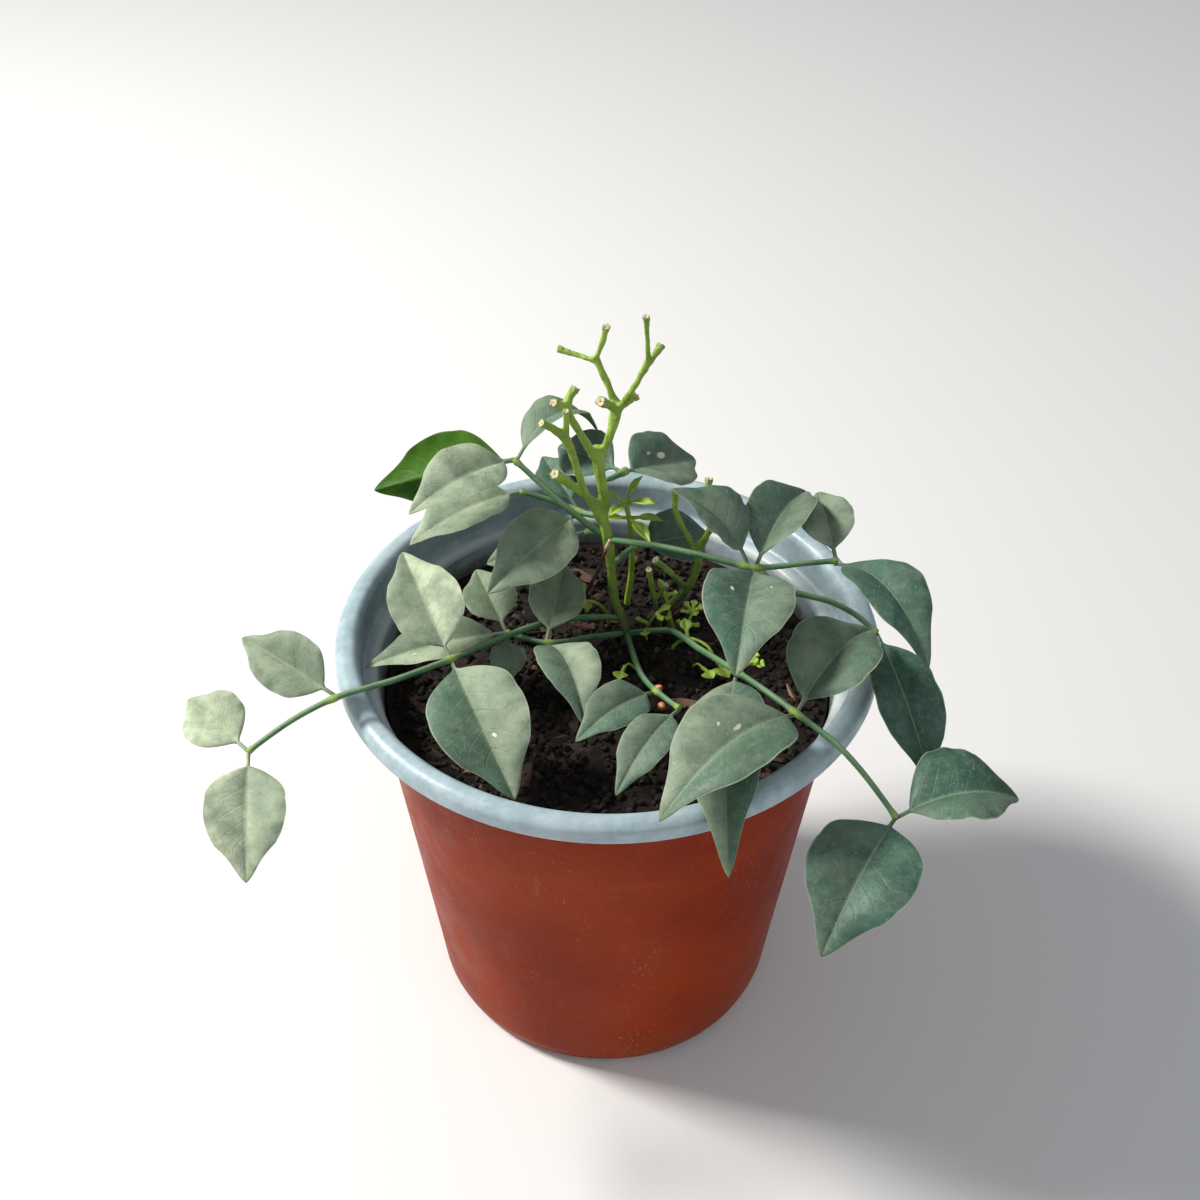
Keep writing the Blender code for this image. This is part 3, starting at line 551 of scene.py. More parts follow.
bark_colour = tint(
    tree, blend(tree, step_between(tree, shade, 0.1, 0.9), (0.012, 0.007, 0.005), (0.070, 0.030, 0.021)),
    (step_between(tree, shade, 0.955, 0.985), 1.0, (0.26, 0.17, 0.10)),
    (step_between(tree, grain, 0.45, 0.75), 0.5, (0.17, 0.095, 0.065)),
)
dress(tree, shader, bark_colour, step_between(tree, grain, 0.3, 0.7, 0.65, 0.95))
relief(tree, shader, grain, 0.0005, 0.8)
chips = new_piece("bark_chips", points, faces, [bark], values={"tone": tone}, smooth_angle=40)
settle(chips, "potting_mix")

# --------------------------------------------------------------------------
# Leaflets are thin, leathery and ovate, folded a little along the midrib and
# arched from base to tip.  Each grows from a short neck on its stalk; dust
# and dried spray lie on the upper face, and the dust is heavier where the
# sun falls, as painted sunlight.
# --------------------------------------------------------------------------
LEAF_THICKNESS = 0.42
NECK_LENGTH = 2.5
NECK_RADIUS = 0.55
NECK_ROOT = 1.4
LEAF_ROWS = 46
LEAF_COLUMNS = 27
# How much deeper than the CAD blades the leaves are folded.
FOLD_GAIN = 1.35


def cad_points(name):
    """Each corner of a CAD node once, in millimetres."""
    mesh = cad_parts[name].data
    points = np.empty(3 * len(mesh.vertices))
    mesh.vertices.foreach_get("co", points)
    return np.unique((points.reshape(-1, 3) / MM).round(2), axis=0)


def outline_share(grown):
    """Half-width of a blade over its widest: sin(pi g^0.8)^0.85, g from 0 at the neck to 1 at the tip."""
    return np.sin(np.pi * np.clip(grown, 0, 1) ** 0.8) ** 0.85


def blade_frame(name):
    """Base, along, side, normal, length, width, arch, fold and twist of a CAD leaflet.

    The base is the end with a cluster of corners, the tip the far single
    corner.  Each row across the blade gives its half-width, the height of
    its ridge and the tilt of its edges; the arch, fold and twist are the
    least-squares values over the rows.
    """
    points = cad_points(name)
    one = points[np.argmax(np.linalg.norm(points - points.mean(0), axis=1))]
    other = points[np.argmax(np.linalg.norm(points - one, axis=1))]
    near = [points[np.linalg.norm(points - end, axis=1) < 1.4] for end in (one, other)]
    crowded = int(len(near[1]) > len(near[0]))
    base, tip = near[crowded].mean(0), (other, one)[crowded]
    length = np.linalg.norm(tip - base)
    along = (tip - base) / length
    station = (points - base) @ along / length
    order = np.argsort(station)
    breaks = np.nonzero(np.diff(station[order]) > 0.3 / length)[0] + 1
    rows = [points[group] for group in np.split(order, breaks)]
    ends = []
    for row in rows:
        if len(row) < 6:
            continue
        gaps = np.linalg.norm(row[:, None] - row[None], axis=-1)
        left, right = np.unravel_index(np.argmax(gaps), gaps.shape)
        if gaps.max() < 3.0:
            continue
        from_middle = np.abs((row - (row[left] + row[right]) / 2) @ (row[right] - row[left]))
        ridge = row[np.argsort(from_middle)[:2]].mean(0)
        ends.append((((row[left] - base) @ along) / length, row[left], row[right], ridge))
    u = np.array([end[0] for end in ends])
    left, right, ridge = (np.array([end[k] for end in ends]) for k in (1, 2, 3))
    span = right - left
    middle = np.argmin(np.abs(u - 0.5))
    span *= np.sign(span @ span[middle])[:, None]
    side = span[middle] / np.linalg.norm(span[middle])
    normal = np.cross(along, side)
    if np.sum(((left + right) / 2 - ridge) @ normal) < 0:
        side, normal, span = -side, -normal, -span
    slope, start = np.polyfit(2 * u - 1, (span @ normal) / (span @ side), 1)
    turn = math.atan(start)
    side, normal = (math.cos(turn) * side + math.sin(turn) * normal,
                    math.cos(turn) * normal - math.sin(turn) * side)
    half = 0.5 * span @ side
    neck = NECK_LENGTH / length
    width = 2 * np.mean(half / outline_share((u - neck) / (1 - neck)))
    bow = 4 * u * (1 - u)
    arch = ((ridge - base) @ normal) @ bow / (bow @ bow)
    fold = np.mean((((left + right) / 2 - ridge) @ normal) / half)
    return base, along, side, normal, length, width, arch, fold, slope


def blade_surface(shape, rng, curl=0.0, rows=LEAF_ROWS, columns=LEAF_COLUMNS, root=NECK_ROOT,
                  thick=LEAF_THICKNESS):
    """Points, faces, uv and the underside value of one leaf blade.

    Over u (base to tip) and v (edge to edge) the height above the straight
    line is 4 arch u(1-u) + fold s (sqrt(v^2+e^2)-e) + twist s v (2u-1), plus
    a bulge of each half, shallow side veins, a waved edge and a groove on
    the midrib, where s is the half-width: the outline drawn in by a fifth
    near the tip and filled out by a tenth near the base.  The two faces part
    by the thickness, which ends at the edge, with a rib under the midrib.
    """
    base, along, side, normal, length, width, arch, fold, twist = shape
    fold = FOLD_GAIN * fold
    t = np.linspace(0, 1, rows + 1)[:, None]
    t = 0.6 * t + 0.4 * (1 - np.cos(np.pi * t)) / 2
    u = -root / length + (1 + root / length) * t
    v = np.linspace(-1, 1, columns)[None, :]
    neck = NECK_LENGTH / length
    grown = (u - neck) / (1 - neck)
    g = np.clip(grown, 0, 1)
    drawn_out = 1 - 0.20 * np.sin(np.pi * np.clip((g - 0.70) / 0.30, 0, 1))
    full_base = 1 + 0.10 * np.sin(np.pi * np.clip(g / 0.32, 0, 1))
    spread = 0.5 * width * outline_share(g) * drawn_out * full_base
    slim = NECK_RADIUS * (1 - g)
    half = np.maximum(np.sqrt(spread**2 + slim**2), 1e-4)
    lobes = rng.uniform(-1, 1, 6)
    edge_wave = np.where(v > 0, np.sin(2 * np.pi * (1.9 + 0.4 * lobes[0]) * u + 3 * lobes[1]),
                         np.sin(2 * np.pi * (2.0 + 0.4 * lobes[2]) * u + 3 * lobes[3]))
    fine_wave = np.sin(2 * np.pi * 6.5 * u + 5 * v + 4 * lobes[4])
    veins = np.cos(2 * np.pi * (7.5 * g**0.9 - 1.7 * np.abs(v)))
    open_blade = np.sin(np.pi * np.clip(g * 1.02, 0, 1)) ** 0.5
    height = (
        4 * arch * u * (1 - u)
        + fold * spread * (np.sqrt(v**2 + 0.012) - 0.11)
        + twist * spread * v * (2 * u - 1)
        + 0.095 * spread * 4 * np.abs(v) * (1 - np.abs(v))
        + 0.050 * spread * np.abs(v) ** 3 * (edge_wave + 0.35 * fine_wave)
        + 0.026 * veins * np.sin(np.pi * np.abs(v)) * open_blade
        - 0.17 * np.exp(-((v * half / 0.42) ** 2)) * open_blade
    )
    curled = curl * np.clip((g - 0.62) / 0.38, 0, 1) ** 2 * length
    height = height - curled
    edge_share = np.clip(1 - np.abs(v) ** 4, 0, 1) ** 0.5
    neck_share = np.clip(1 - g / 0.07, 0, 1) ** 2
    round_neck = NECK_RADIUS * np.sqrt(np.clip(1 - v**2, 0, 1))
    body = 0.5 * thick * edge_share * (1 - neck_share) + round_neck * neck_share
    rib = 0.30 * np.exp(-((v * half / 0.5) ** 2)) * (1 - g) * open_blade
    middle = base + along * (u * length - 0.35 * curled)[..., None]
    middle = middle + side * (v * half)[..., None] + normal * height[..., None]
    top = middle + normal * body[..., None]
    under = middle - normal * (body + rib)[..., None]
    tip = middle[-1, columns // 2]
    count = rows * columns
    index_top = np.full((rows + 1, columns), count)
    index_top[:-1] = np.arange(count).reshape(rows, columns)
    index_under = index_top.copy()
    inner = np.arange(count + 1, count + 1 + rows * (columns - 2)).reshape(rows, columns - 2)
    index_under[:-1, 1:-1] = inner
    points = np.vstack([top[:-1].reshape(-1, 3), tip[None], under[:-1, 1:-1].reshape(-1, 3)])
    flat_uv = np.stack(np.broadcast_arrays(t, (v + 1) / 2), axis=-1)
    uv = np.vstack([flat_uv[:-1].reshape(-1, 2), [[1.0, 0.5]], flat_uv[:-1, 1:-1].reshape(-1, 2)])
    below = np.concatenate([np.zeros(count), [0.5], np.ones(inner.size)])
    below[index_top[:-1, [0, -1]].ravel()] = 0.5
    last_top, last_under = index_top[-2], index_under[-2]
    tips = np.full(columns - 1, count)
    faces = [
        quads(index_top[:-1]), quads(index_under[:-1])[:, ::-1],
        np.stack([last_top[:-1], tips, last_top[1:]], axis=-1),
        np.stack([last_under[1:], tips, last_under[:-1]], axis=-1),
        np.stack([index_top[0, 1:-2], index_top[0, 2:-1], index_under[0, 2:-1], index_under[0, 1:-2]],
                 axis=-1),
        np.array([[index_top[0, 0], index_top[0, 1], index_under[0, 1]],
                  [index_top[0, -2], index_top[0, -1], index_under[0, -2]]]),
    ]
    return points, faces, uv, below


# Leaf skin: blue-green above and brighter yellow-green below, partly painted
# light shining through the leaf, with a pale midrib and edge, drifts of cream
# dust that also paint sunlight on the lit halves and the left leaflets, dried
# spray and small scratches.
leaf_skin, tree, shader, place = new_material("leaf_skin")
below, dust_and_sunlight, warm, scar = (carried_value(tree, label) for label in ("below", "dust_and_sunlight", "warm", "scar"))
flat = node(tree, "ShaderNodeUVMap", uv_map="UVMap").outputs[0]
parts = node(tree, "ShaderNodeSeparateXYZ", {0: flat}).outputs
off_rib = calc(tree, "ABSOLUTE", calc(tree, "MULTIPLY_ADD", parts[1], 2.0, -1.0))
broad = noise(tree, place, 95.0, 4.0, 0.6)
vein_line = calc(tree, "MULTIPLY_ADD", off_rib, -1.7, calc(tree, "MULTIPLY", parts[0], 7.5))
vein_line = calc(tree, "PINGPONG", vein_line, 0.5)
vein = calc(tree, "MULTIPLY", step_between(tree, vein_line, 0.07, 0.0), step_between(tree, off_rib, 0.9, 0.3))
cloud = noise(tree, place, 150.0, 5.0, 0.6)
patch = noise(tree, place, 520.0, 6.0, 0.75, 0.4)
film = noise(tree, place, 420.0, 5.0, 0.7)
specks = gritty(tree, place, 1050.0, 0.22, 0.58)
wet = placed(tree, marks, {"Vector": place, "Scale": 130.0, "Amount": 0.07})
scratch = noise(tree, stretched(tree, place, (2200, 240, 600)), 1.0, 2.0, 0.5, 2.5)
scar = calc(tree, "MULTIPLY", scar, step_between(tree, cloud, 0.2, 0.6, 0.6, 1.2))
green = tint(
    tree, blend(tree, step_between(tree, broad, 0.32, 0.70), (0.019, 0.066, 0.047), (0.042, 0.122, 0.086)),
    (warm, 1.0, (0.085, 0.125, 0.045)),
    (vein, 0.09, (0.14, 0.22, 0.13)),
    # Cream dust, partly painted sunlight: heavier on the sun-facing half of each leaflet and on the leaflets
    # at the left.
    (step_between(tree, cloud, 0.25, 0.75, 0.45, 1.15), dust_and_sunlight, (0.54, 0.61, 0.43)),
    (step_between(tree, patch, 0.50, 0.28), 0.30, (0.014, 0.050, 0.036)),
    (step_between(tree, film, 0.45, 0.75), 0.34, (0.17, 0.28, 0.21)),
    (step_between(tree, off_rib, 0.040, 0.008), 0.42, (0.30, 0.38, 0.22)),
    (step_between(tree, off_rib, 0.955, 0.995), 0.6, (0.40, 0.44, 0.32)),
    (specks, 0.8, (0.72, 0.76, 0.68)),
    (wet["Mask"], 1.0, (0.46, 0.52, 0.44)),
    (step_between(tree, scratch, 0.70, 0.78), 0.7, (0.60, 0.66, 0.56)),
    (step_between(tree, scar, 0.30, 0.55), 1.0, (0.70, 0.68, 0.52)),
)
# Underside: its own paler green, made brighter and yellower as painted light shining through the leaf.
underside = tint(
    tree, blend(tree, step_between(tree, broad, 0.3, 0.7), (0.030, 0.105, 0.003), (0.058, 0.165, 0.008)),
    (vein, 0.5, (0.16, 0.28, 0.06)),
)
green = blend(tree, step_between(tree, below, 0.5, 0.75), green, underside)
gloss = calc(tree, "MULTIPLY_ADD", dust_and_sunlight, 0.25, step_between(tree, cloud, 0.3, 0.7, 0.40, 0.58))
dress(tree, shader, green, gloss, 0.28)
skin_height = calc(tree, "MULTIPLY_ADD", vein, -0.6, noise(tree, place, 1100.0, 4.0, 0.6))
relief(tree, shader, calc(tree, "MULTIPLY_ADD", specks, 0.8, skin_height), 0.0002, 0.55)

# Dust on the left and right half of each leaflet, looking from its base, and
# how yellow it is.  The dust is partly painted sunlight: it is laid on heavier
# on the sun-facing half and on the leaflets at the left.
LEAF_LOOKS = {
    "left_low_1": (0.55, 1.00, 0.25), "left_low_2": (0.50, 0.10, 0.20), "left_low_3": (0.60, 0.42, 0.30),
    "left_low_4": (0.98, 0.85, 0.25), "left_low_5": (0.62, 0.95, 0.20),
    "left_short_1": (0.38, 0.32, 0.35), "left_short_2": (0.52, 0.20, 0.15),
    "left_short_3": (0.34, 0.34, 0.40), "left_short_4": (0.60, 0.30, 0.35),
    "left_short_5": (0.30, 0.25, 0.20), "left_high_1": (0.55, 0.75, 0.15),
    "left_high_2": (0.10, 0.10, 0.60), "left_high_3": (0.28, 0.22, 0.15),
    "left_middle_1": (0.50, 0.70, 0.15), "left_middle_2": (0.40, 0.30, 0.25),
    "left_inner_1": (0.24, 0.30, 0.20), "left_middle_3": (0.10, 0.15, 0.00),
    "back_high_1": (0.14, 0.34, 0.05), "back_high_2": (0.10, 0.15, 0.00),
    "back_low_1": (0.05, 0.05, 0.10), "right_high_1": (0.22, 0.20, 0.05),
    "right_high_2": (0.12, 0.28, 0.10), "right_high_3": (0.30, 0.08, 0.05),
    "right_high_4": (0.50, 0.36, 0.25), "right_high_5": (0.10, 0.06, 0.00),
    "right_middle_1": (0.04, 0.04, 0.00), "front_right_1": (0.24, 0.12, 0.20),
    "front_right_2": (0.12, 0.42, 0.20), "front_right_3": (0.06, 0.16, 0.00),
    "front_right_4": (0.02, 0.12, 0.10), "front_1": (0.14, 0.30, 0.10), "front_2": (0.18, 0.36, 0.05),
    "front_right_5": (0.10, 0.42, 0.05),
}
LEAF_CURLS = {"left_high_3": 0.10, "left_middle_2": 0.06}
# Pale scars: place along and across a leaflet (0 to 1), then half sizes.
LEAF_SCARS = {
    "back_high_1": [(0.52, 0.60, 0.060, 0.045), (0.38, 0.66, 0.020, 0.028)],
    "left_low_2": [(0.80, 0.40, 0.060, 0.012), (0.72, 0.33, 0.012, 0.045), (0.60, 0.58, 0.014, 0.020)],
    "right_high_3": [(0.42, 0.30, 0.016, 0.020), (0.35, 0.72, 0.012, 0.024)],
    "front_right_2": [(0.40, 0.42, 0.030, 0.008), (0.48, 0.30, 0.010, 0.026), (0.82, 0.55, 0.040, 0.010)],
    "left_short_4": [(0.66, 0.70, 0.030, 0.016)],
}
leaf_frames = {}
for order, (name, (left_dust_and_sunlight, right_dust_and_sunlight, yellow)) in enumerate(LEAF_LOOKS.items()):
    shape = blade_frame(f"leaflet_{name}")
    leaf_frames[name] = shape
    rng = np.random.default_rng(100 + order)
    points, faces, uv, below_value = blade_surface(shape, rng, LEAF_CURLS.get(name, 0.0))
    across = 1 / (1 + np.exp(-14 * (2 * uv[:, 1] - 1)))
    dust_and_sunlight_value = right_dust_and_sunlight + (left_dust_and_sunlight - right_dust_and_sunlight) * across
    warm_value = yellow + (1 - yellow) * 0.55 * np.clip((uv[:, 0] - 0.84) / 0.16, 0, 1) ** 2
    scar_value = np.zeros(len(points))
    for along_leaf, over_leaf, long_half, wide_half in LEAF_SCARS.get(name, []):
        off = ((uv[:, 0] - along_leaf) / long_half) ** 2 + ((uv[:, 1] - over_leaf) / wide_half) ** 2
        scar_value = np.maximum(scar_value, np.exp(-off))
    carried = {"below": below_value, "dust_and_sunlight": dust_and_sunlight_value, "warm": warm_value, "scar": scar_value}
    leaf = new_piece(f"leaf_{name}", points, faces, [leaf_skin], uv, carried, 80)
    settle(leaf, "leaflet", f"leaflet_{name}")

# --------------------------------------------------------------------------
# Leaf stalks are thin, grooved along the top and swollen where each pair of
# leaflets sits.  Each grows out of a stem.
# --------------------------------------------------------------------------
STALK_SIDES = 14
NODE_SWELL = 0.35


def merged(name):
    """A bmesh of a CAD node with its loose triangles joined."""
    shape = bmesh.new()
    shape.from_mesh(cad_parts[name].data)
    bmesh.ops.remove_doubles(shape, verts=shape.verts, dist=2e-6)
    shape.normal_update()
    return shape


def flat_ends(shape, sides):
    """The flat ends of tubes in a merged node: sets of vertices that make a regular, flat polygon."""
    seen, ends = set(), []
    for start in shape.faces:
        if start in seen:
            continue
        patch, todo = {start}, [start]
        while todo:
            for edge in todo.pop().edges:
                for other in edge.link_faces:
                    if other not in patch and other.normal.dot(start.normal) > 0.9999:
                        patch.add(other)
                        todo.append(other)
        seen |= patch
        corners = {corner for face in patch for corner in face.verts}
        if len(patch) == sides - 2 and len(corners) == sides:
            spots = np.array([corner.co for corner in corners]) / MM
            reach = np.linalg.norm(spots - spots.mean(0), axis=1)
            if np.ptp(reach) < 0.08 * reach.mean():
                ends.append((corners, spots.mean(0), np.array(start.normal), reach.mean()))
    return ends


def ring_centres(name, sides, near):
    """Middles of the rings of a CAD tube in millimetres, from its end nearest to a point."""
    shape = merged(name)
    ends = flat_ends(shape, sides)
    ring = min(ends, key=lambda end: np.linalg.norm(end[1] - near))[0]
    centres, seen = [], set(ring)
    while ring:
        centres.append(np.mean([corner.co for corner in ring], axis=0) / MM)
        ring = {edge.other_vert(corner) for corner in ring for edge in corner.link_edges} - seen
        seen |= ring
    shape.free()
    return np.array(centres)


def smooth_line(points, spacing):
    """A Catmull-Rom curve through points, cut to even steps of its length."""
    ends = np.vstack([2 * points[0] - points[1], points, 2 * points[-1] - points[-2]])
    t = np.linspace(0, 1, 9)[:-1][None, :, None]
    before, start, end, after = (ends[k:len(points) - 1 + k][:, None] for k in range(4))
    curve = 0.5 * (2 * start + (end - before) * t + (2 * before - 5 * start + 4 * end - after) * t**2
                   + (3 * start - before - 3 * end + after) * t**3)
    curve = np.vstack([curve.reshape(-1, 3), points[-1:]])
    run = np.concatenate([[0], np.cumsum(np.linalg.norm(np.diff(curve, axis=0), axis=1))])
    even = np.linspace(0, run[-1], max(4, int(run[-1] / spacing)) + 1)
    return np.stack([np.interp(even, run, curve[:, axis]) for axis in range(3)], axis=1), even


TUBE_UP = (0.3, 0.9, 0.1)


def swept(line, radius, sides, shape=None, up=TUBE_UP):
    """A tube along a line: point = line + r (cos a * side + sin a * upper), r = radius * (1 + shape(a)).

    side is square to the line and to up.  Both ends are rounded to a pole.
    """
    tangent = np.gradient(line, axis=0)
    tangent /= np.linalg.norm(tangent, axis=1)[:, None]
    side = np.cross(tangent, up)
    side /= np.linalg.norm(side, axis=1)[:, None]
    upper = np.cross(side, tangent)
    turn = np.linspace(0, 2 * np.pi, sides, endpoint=False)
    reach = radius[:, None] * (1 + (shape(turn)[None] if shape else 0.0))
    first, last = line[0] - tangent[0] * radius[0] * 0.5, line[-1] + tangent[-1] * radius[-1] * 0.5
    grid = line[:, None] + reach[..., None] * (np.cos(turn)[None, :, None] * side[:, None]
                                               + np.sin(turn)[None, :, None] * upper[:, None])
    rows = len(line)
    index = np.arange(rows * sides).reshape(rows, sides)
    points = np.vstack([grid.reshape(-1, 3), first, last])
    faces = [quads(np.hstack([index, index[:, :1]])), fan(rows * sides, index[0]),
             fan(rows * sides + 1, index[-1][::-1])]
    around = np.concatenate([np.tile(np.sin(turn), rows), [0.0, 0.0]])
    return points, faces, around


stalk_skin, tree, shader, place = new_material("leaf_stalk_skin")
swelling, upward = carried_value(tree, "swelling"), carried_value(tree, "upward")
broad = noise(tree, place, 160.0, 4.0)
green = tint(
    tree, blend(tree, step_between(tree, broad, 0.3, 0.7), (0.036, 0.125, 0.050), (0.085, 0.200, 0.080)),
    (step_between(tree, upward, 0.55, 1.0), 0.45, (0.26, 0.36, 0.22)),
    (swelling, 1.0, (0.30, 0.42, 0.075)),
    (gritty(tree, place, 1200.0, 0.24, 0.50), 0.6, (0.62, 0.66, 0.52)),
)
dress(tree, shader, green, step_between(tree, broad, 0.3, 0.7, 0.42, 0.62))
relief(tree, shader, noise(tree, place, 1300.0, 4.0), 0.0003, 0.6)

crown_corners = cad_points("main_stem")
crown = crown_corners[crown_corners[:, 2] < crown_corners[:, 2].min() + 12].mean(0)
stem_base = np.array([crown[0], crown[1], SOIL_LEVEL + 30])


def stalk_groove(turn):
    """Two shallow furrows either side of the top, and a slightly flat top."""
    furrows = sum(np.exp(-((np.sin((turn - math.radians(middle)) / 2) / 0.16) ** 2)) for middle in (62, 118))
    return -0.16 * furrows - 0.05 * np.sin(turn)


for name in (node_name for node_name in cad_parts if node_name.startswith("stalk_")):
    centres = ring_centres(name, 6, stem_base)
    lead = centres[0] - centres[1]
    centres = np.vstack([centres[0] + 1.5 * lead / np.linalg.norm(lead), centres])
    line, run = smooth_line(centres, 0.7)
    joints = np.array([shape[0] for label, shape in leaf_frames.items()
                       if name == "stalk_" + label.rsplit("_", 1)[0]])
    gaps = np.linalg.norm(line[:, None] - joints[None], axis=-1)
    seats = run[np.argmin(gaps, axis=0)]
    swell = np.exp(-((run[:, None] - seats[None]) / 1.5) ** 2).max(1)
    radius = np.linspace(0.98, 0.76, len(line)) * (1 + NODE_SWELL * swell)
    points, faces, around = swept(line, radius, STALK_SIDES, stalk_groove, (0.0, 0.0, 1.0))
    swelling_value = np.concatenate([np.repeat(swell, STALK_SIDES), [0.0, swell[-1]]])
    stalk = new_piece(name.replace("stalk_", "leaf_stalk_"), points, faces, [stalk_skin],
                      values={"swelling": swelling_value * 0.8, "upward": around}, smooth_angle=80)
    settle(stalk, "leaf_stalk", name)

# --------------------------------------------------------------------------
# Stems are green, half-woody and cut back: each limb ends in a dry cut face,
# and each fork is a swollen node.  They root in the mix.
# --------------------------------------------------------------------------
STEM_NODES = ("main_stem", "second_stem", "thin_stem")
STEM_GRAIN = 0.32
STEM_PUSH = -0.10
FORK_SMOOTHING = 6
CAD_STEM_SIDES = 7


def stem_skin(name, finish):
    """A CAD stem remade as one even skin, smoothed at its forks, with faint lengthwise ridges.

    Each point then moves out along its normal by STEM_PUSH plus
    0.05 (sin(3.1x + 0.2z) + sin(2.7y + 0.4z)) and a little lattice noise.
    """
    label = name + "_bark"
    shape = merged(name)
    mesh = bpy.data.meshes.new(label)
    shape.to_mesh(mesh)
    shape.free()
    piece = bpy.data.objects.new(label, mesh)
    bpy.context.scene.collection.objects.link(piece)
    remade = piece.modifiers.new("even_skin", "REMESH")
    remade.mode = "VOXEL"
    remade.voxel_size = STEM_GRAIN * MM
    smoothed = piece.modifiers.new("soft_forks", "SMOOTH")
    smoothed.factor = 0.5
    smoothed.iterations = FORK_SMOOTHING
    applied(piece)
    count = len(piece.data.vertices)
    points, normals = np.empty(3 * count), np.empty(3 * count)
    piece.data.vertices.foreach_get("co", points)
    piece.data.vertices.foreach_get("normal", normals)
    points, normals = points.reshape(-1, 3) / MM, normals.reshape(-1, 3)
    x, y, z = points.T
    ridge = 0.05 * (np.sin(3.1 * x + 0.2 * z) + np.sin(2.7 * y + 0.4 * z))
    bumps = 0.10 * lattice_noise(x + 0.7 * y + 50, z + 50, 1.7, 31)
    points += normals * (STEM_PUSH + ridge + bumps)[:, None]
    piece.data.vertices.foreach_set("co", (points * MM).ravel())
    piece.data.materials.clear()
    piece.data.materials.append(finish)
    piece.data.shade_smooth()
    settle(piece, "stem", name)


stem_bark, tree, shader, place = new_material("green_stem_bark")
ripe = step_between(tree, height_above(tree, place), (SOIL_LEVEL + 2) * MM, (SOIL_LEVEL + 34) * MM)
mixed = step_between(tree, noise(tree, place, 120.0, 4.0), 0.35, 0.65)
old = blend(tree, mixed, (0.045, 0.075, 0.022), (0.080, 0.125, 0.035))
young = blend(tree, mixed, (0.190, 0.320, 0.030), (0.330, 0.480, 0.070))
streaks = noise(tree, stretched(tree, place, (1500, 1500, 120)), 1.0, 4.0, 0.6)
blotch = noise(tree, stretched(tree, place, (420, 420, 160)), 1.0, 5.0, 0.65)
bark_green = tint(
    tree, blend(tree, ripe, old, young),
    (step_between(tree, streaks, 0.5, 0.75), 0.35, (0.34, 0.42, 0.17)),
    (step_between(tree, blotch, 0.60, 0.74), 0.75, (0.12, 0.085, 0.035)),
    (gritty(tree, place, 1100.0, 0.22, 0.45), 0.6, (0.58, 0.58, 0.40)),
)
dress(tree, shader, bark_green, step_between(tree, streaks, 0.3, 0.7, 0.42, 0.66))
relief(tree, shader, calc(tree, "ADD", streaks, noise(tree, place, 900.0, 4.0)), 0.0004, 0.7)

for name in STEM_NODES:
    stem_skin(name, stem_bark)

# Cut faces: a dry disc of pale wood with a sunken pith and a ragged rim of
# bark, one on each cut limb.
cut_wood, tree, shader, place = new_material("dry_cut_wood")
from_pith = carried_value(tree, "reach")
grain = noise(tree, place, 1400.0, 4.0, 0.65)
wood = tint(
    tree, blend(tree, step_between(tree, grain, 0.3, 0.7), (0.46, 0.40, 0.22), (0.72, 0.66, 0.45)),
    (step_between(tree, from_pith, 0.30, 0.12), 0.8, (0.16, 0.10, 0.05)),
    (step_between(tree, from_pith, 0.70, 0.95), 0.85, (0.26, 0.33, 0.09)),
)
dress(tree, shader, wood, 0.85)
relief(tree, shader, grain, 0.0004, 0.8)


def joined(blocks):
    """Several blocks of points, faces and one value or pair to a point, made into one."""
    starts = np.cumsum([0] + [len(points) for points, _, _ in blocks])
    faces = [face + start for (_, made, _), start in zip(blocks, starts) for face in made]
    return np.vstack([block[0] for block in blocks]), faces, np.concatenate([block[2] for block in blocks])


CUT_RINGS = np.array([0.18, 0.4, 0.62, 0.82, 0.97, 1.06, 1.02])
CUT_LIFT = np.array([0.10, 0.22, 0.26, 0.28, 0.30, 0.12, -0.5])
CUT_SIDES = 18


def cut_faces(name, finish):
    """A cap on every flat end above the mix: rings at CUT_RINGS of the radius, raised by CUT_LIFT of it.

    Each direction round the rim has its own ragged reach.
    """
    shape = merged(name)
    ends = [end for end in flat_ends(shape, CAD_STEM_SIDES) if end[1][2] > SOIL_LEVEL + 5]
    shape.free()
    rng = np.random.default_rng(len(ends))
    turn = np.linspace(0, 2 * np.pi, CUT_SIDES, endpoint=False)
    index = np.arange(len(CUT_RINGS) * CUT_SIDES).reshape(len(CUT_RINGS), CUT_SIDES)
    pole = index.size
    faces = [quads(np.hstack([index, index[:, :1]]))[:, ::-1], fan(pole, index[0]),
             fan(pole + 1, index[-1][::-1])]
    reach = np.concatenate([np.repeat(CUT_RINGS, CUT_SIDES), [0.0, 0.0]])
    blocks = []
    for _, centre, normal, radius in ends:
        across = np.cross(normal, (0.3, 0.5, 0.81))
        across /= np.linalg.norm(across)
        other = np.cross(normal, across)
        ragged = 1 + 0.11 * rng.normal(size=CUT_SIDES)
        out = CUT_RINGS[:, None] * radius * 0.92 * ragged[None]
        up = CUT_LIFT[:, None] * radius * (1 + 0.5 * (ragged[None] - 1) * 8 * CUT_RINGS[:, None]) + 0.12
        grid = centre + (out * np.cos(turn))[..., None] * across + (out * np.sin(turn))[..., None] * other
        grid = grid + up[..., None] * normal
        poles = [centre + normal * 0.12, centre - normal * 0.5 * radius]
        blocks.append((np.vstack([grid.reshape(-1, 3), poles]), faces, reach))
    points, all_faces, reach = joined(blocks)
    settle(new_piece(name + "_cut_faces", points, all_faces, [finish], None, {"reach": reach}, 60), "stem")


for name in STEM_NODES:
    cut_faces(name, cut_wood)

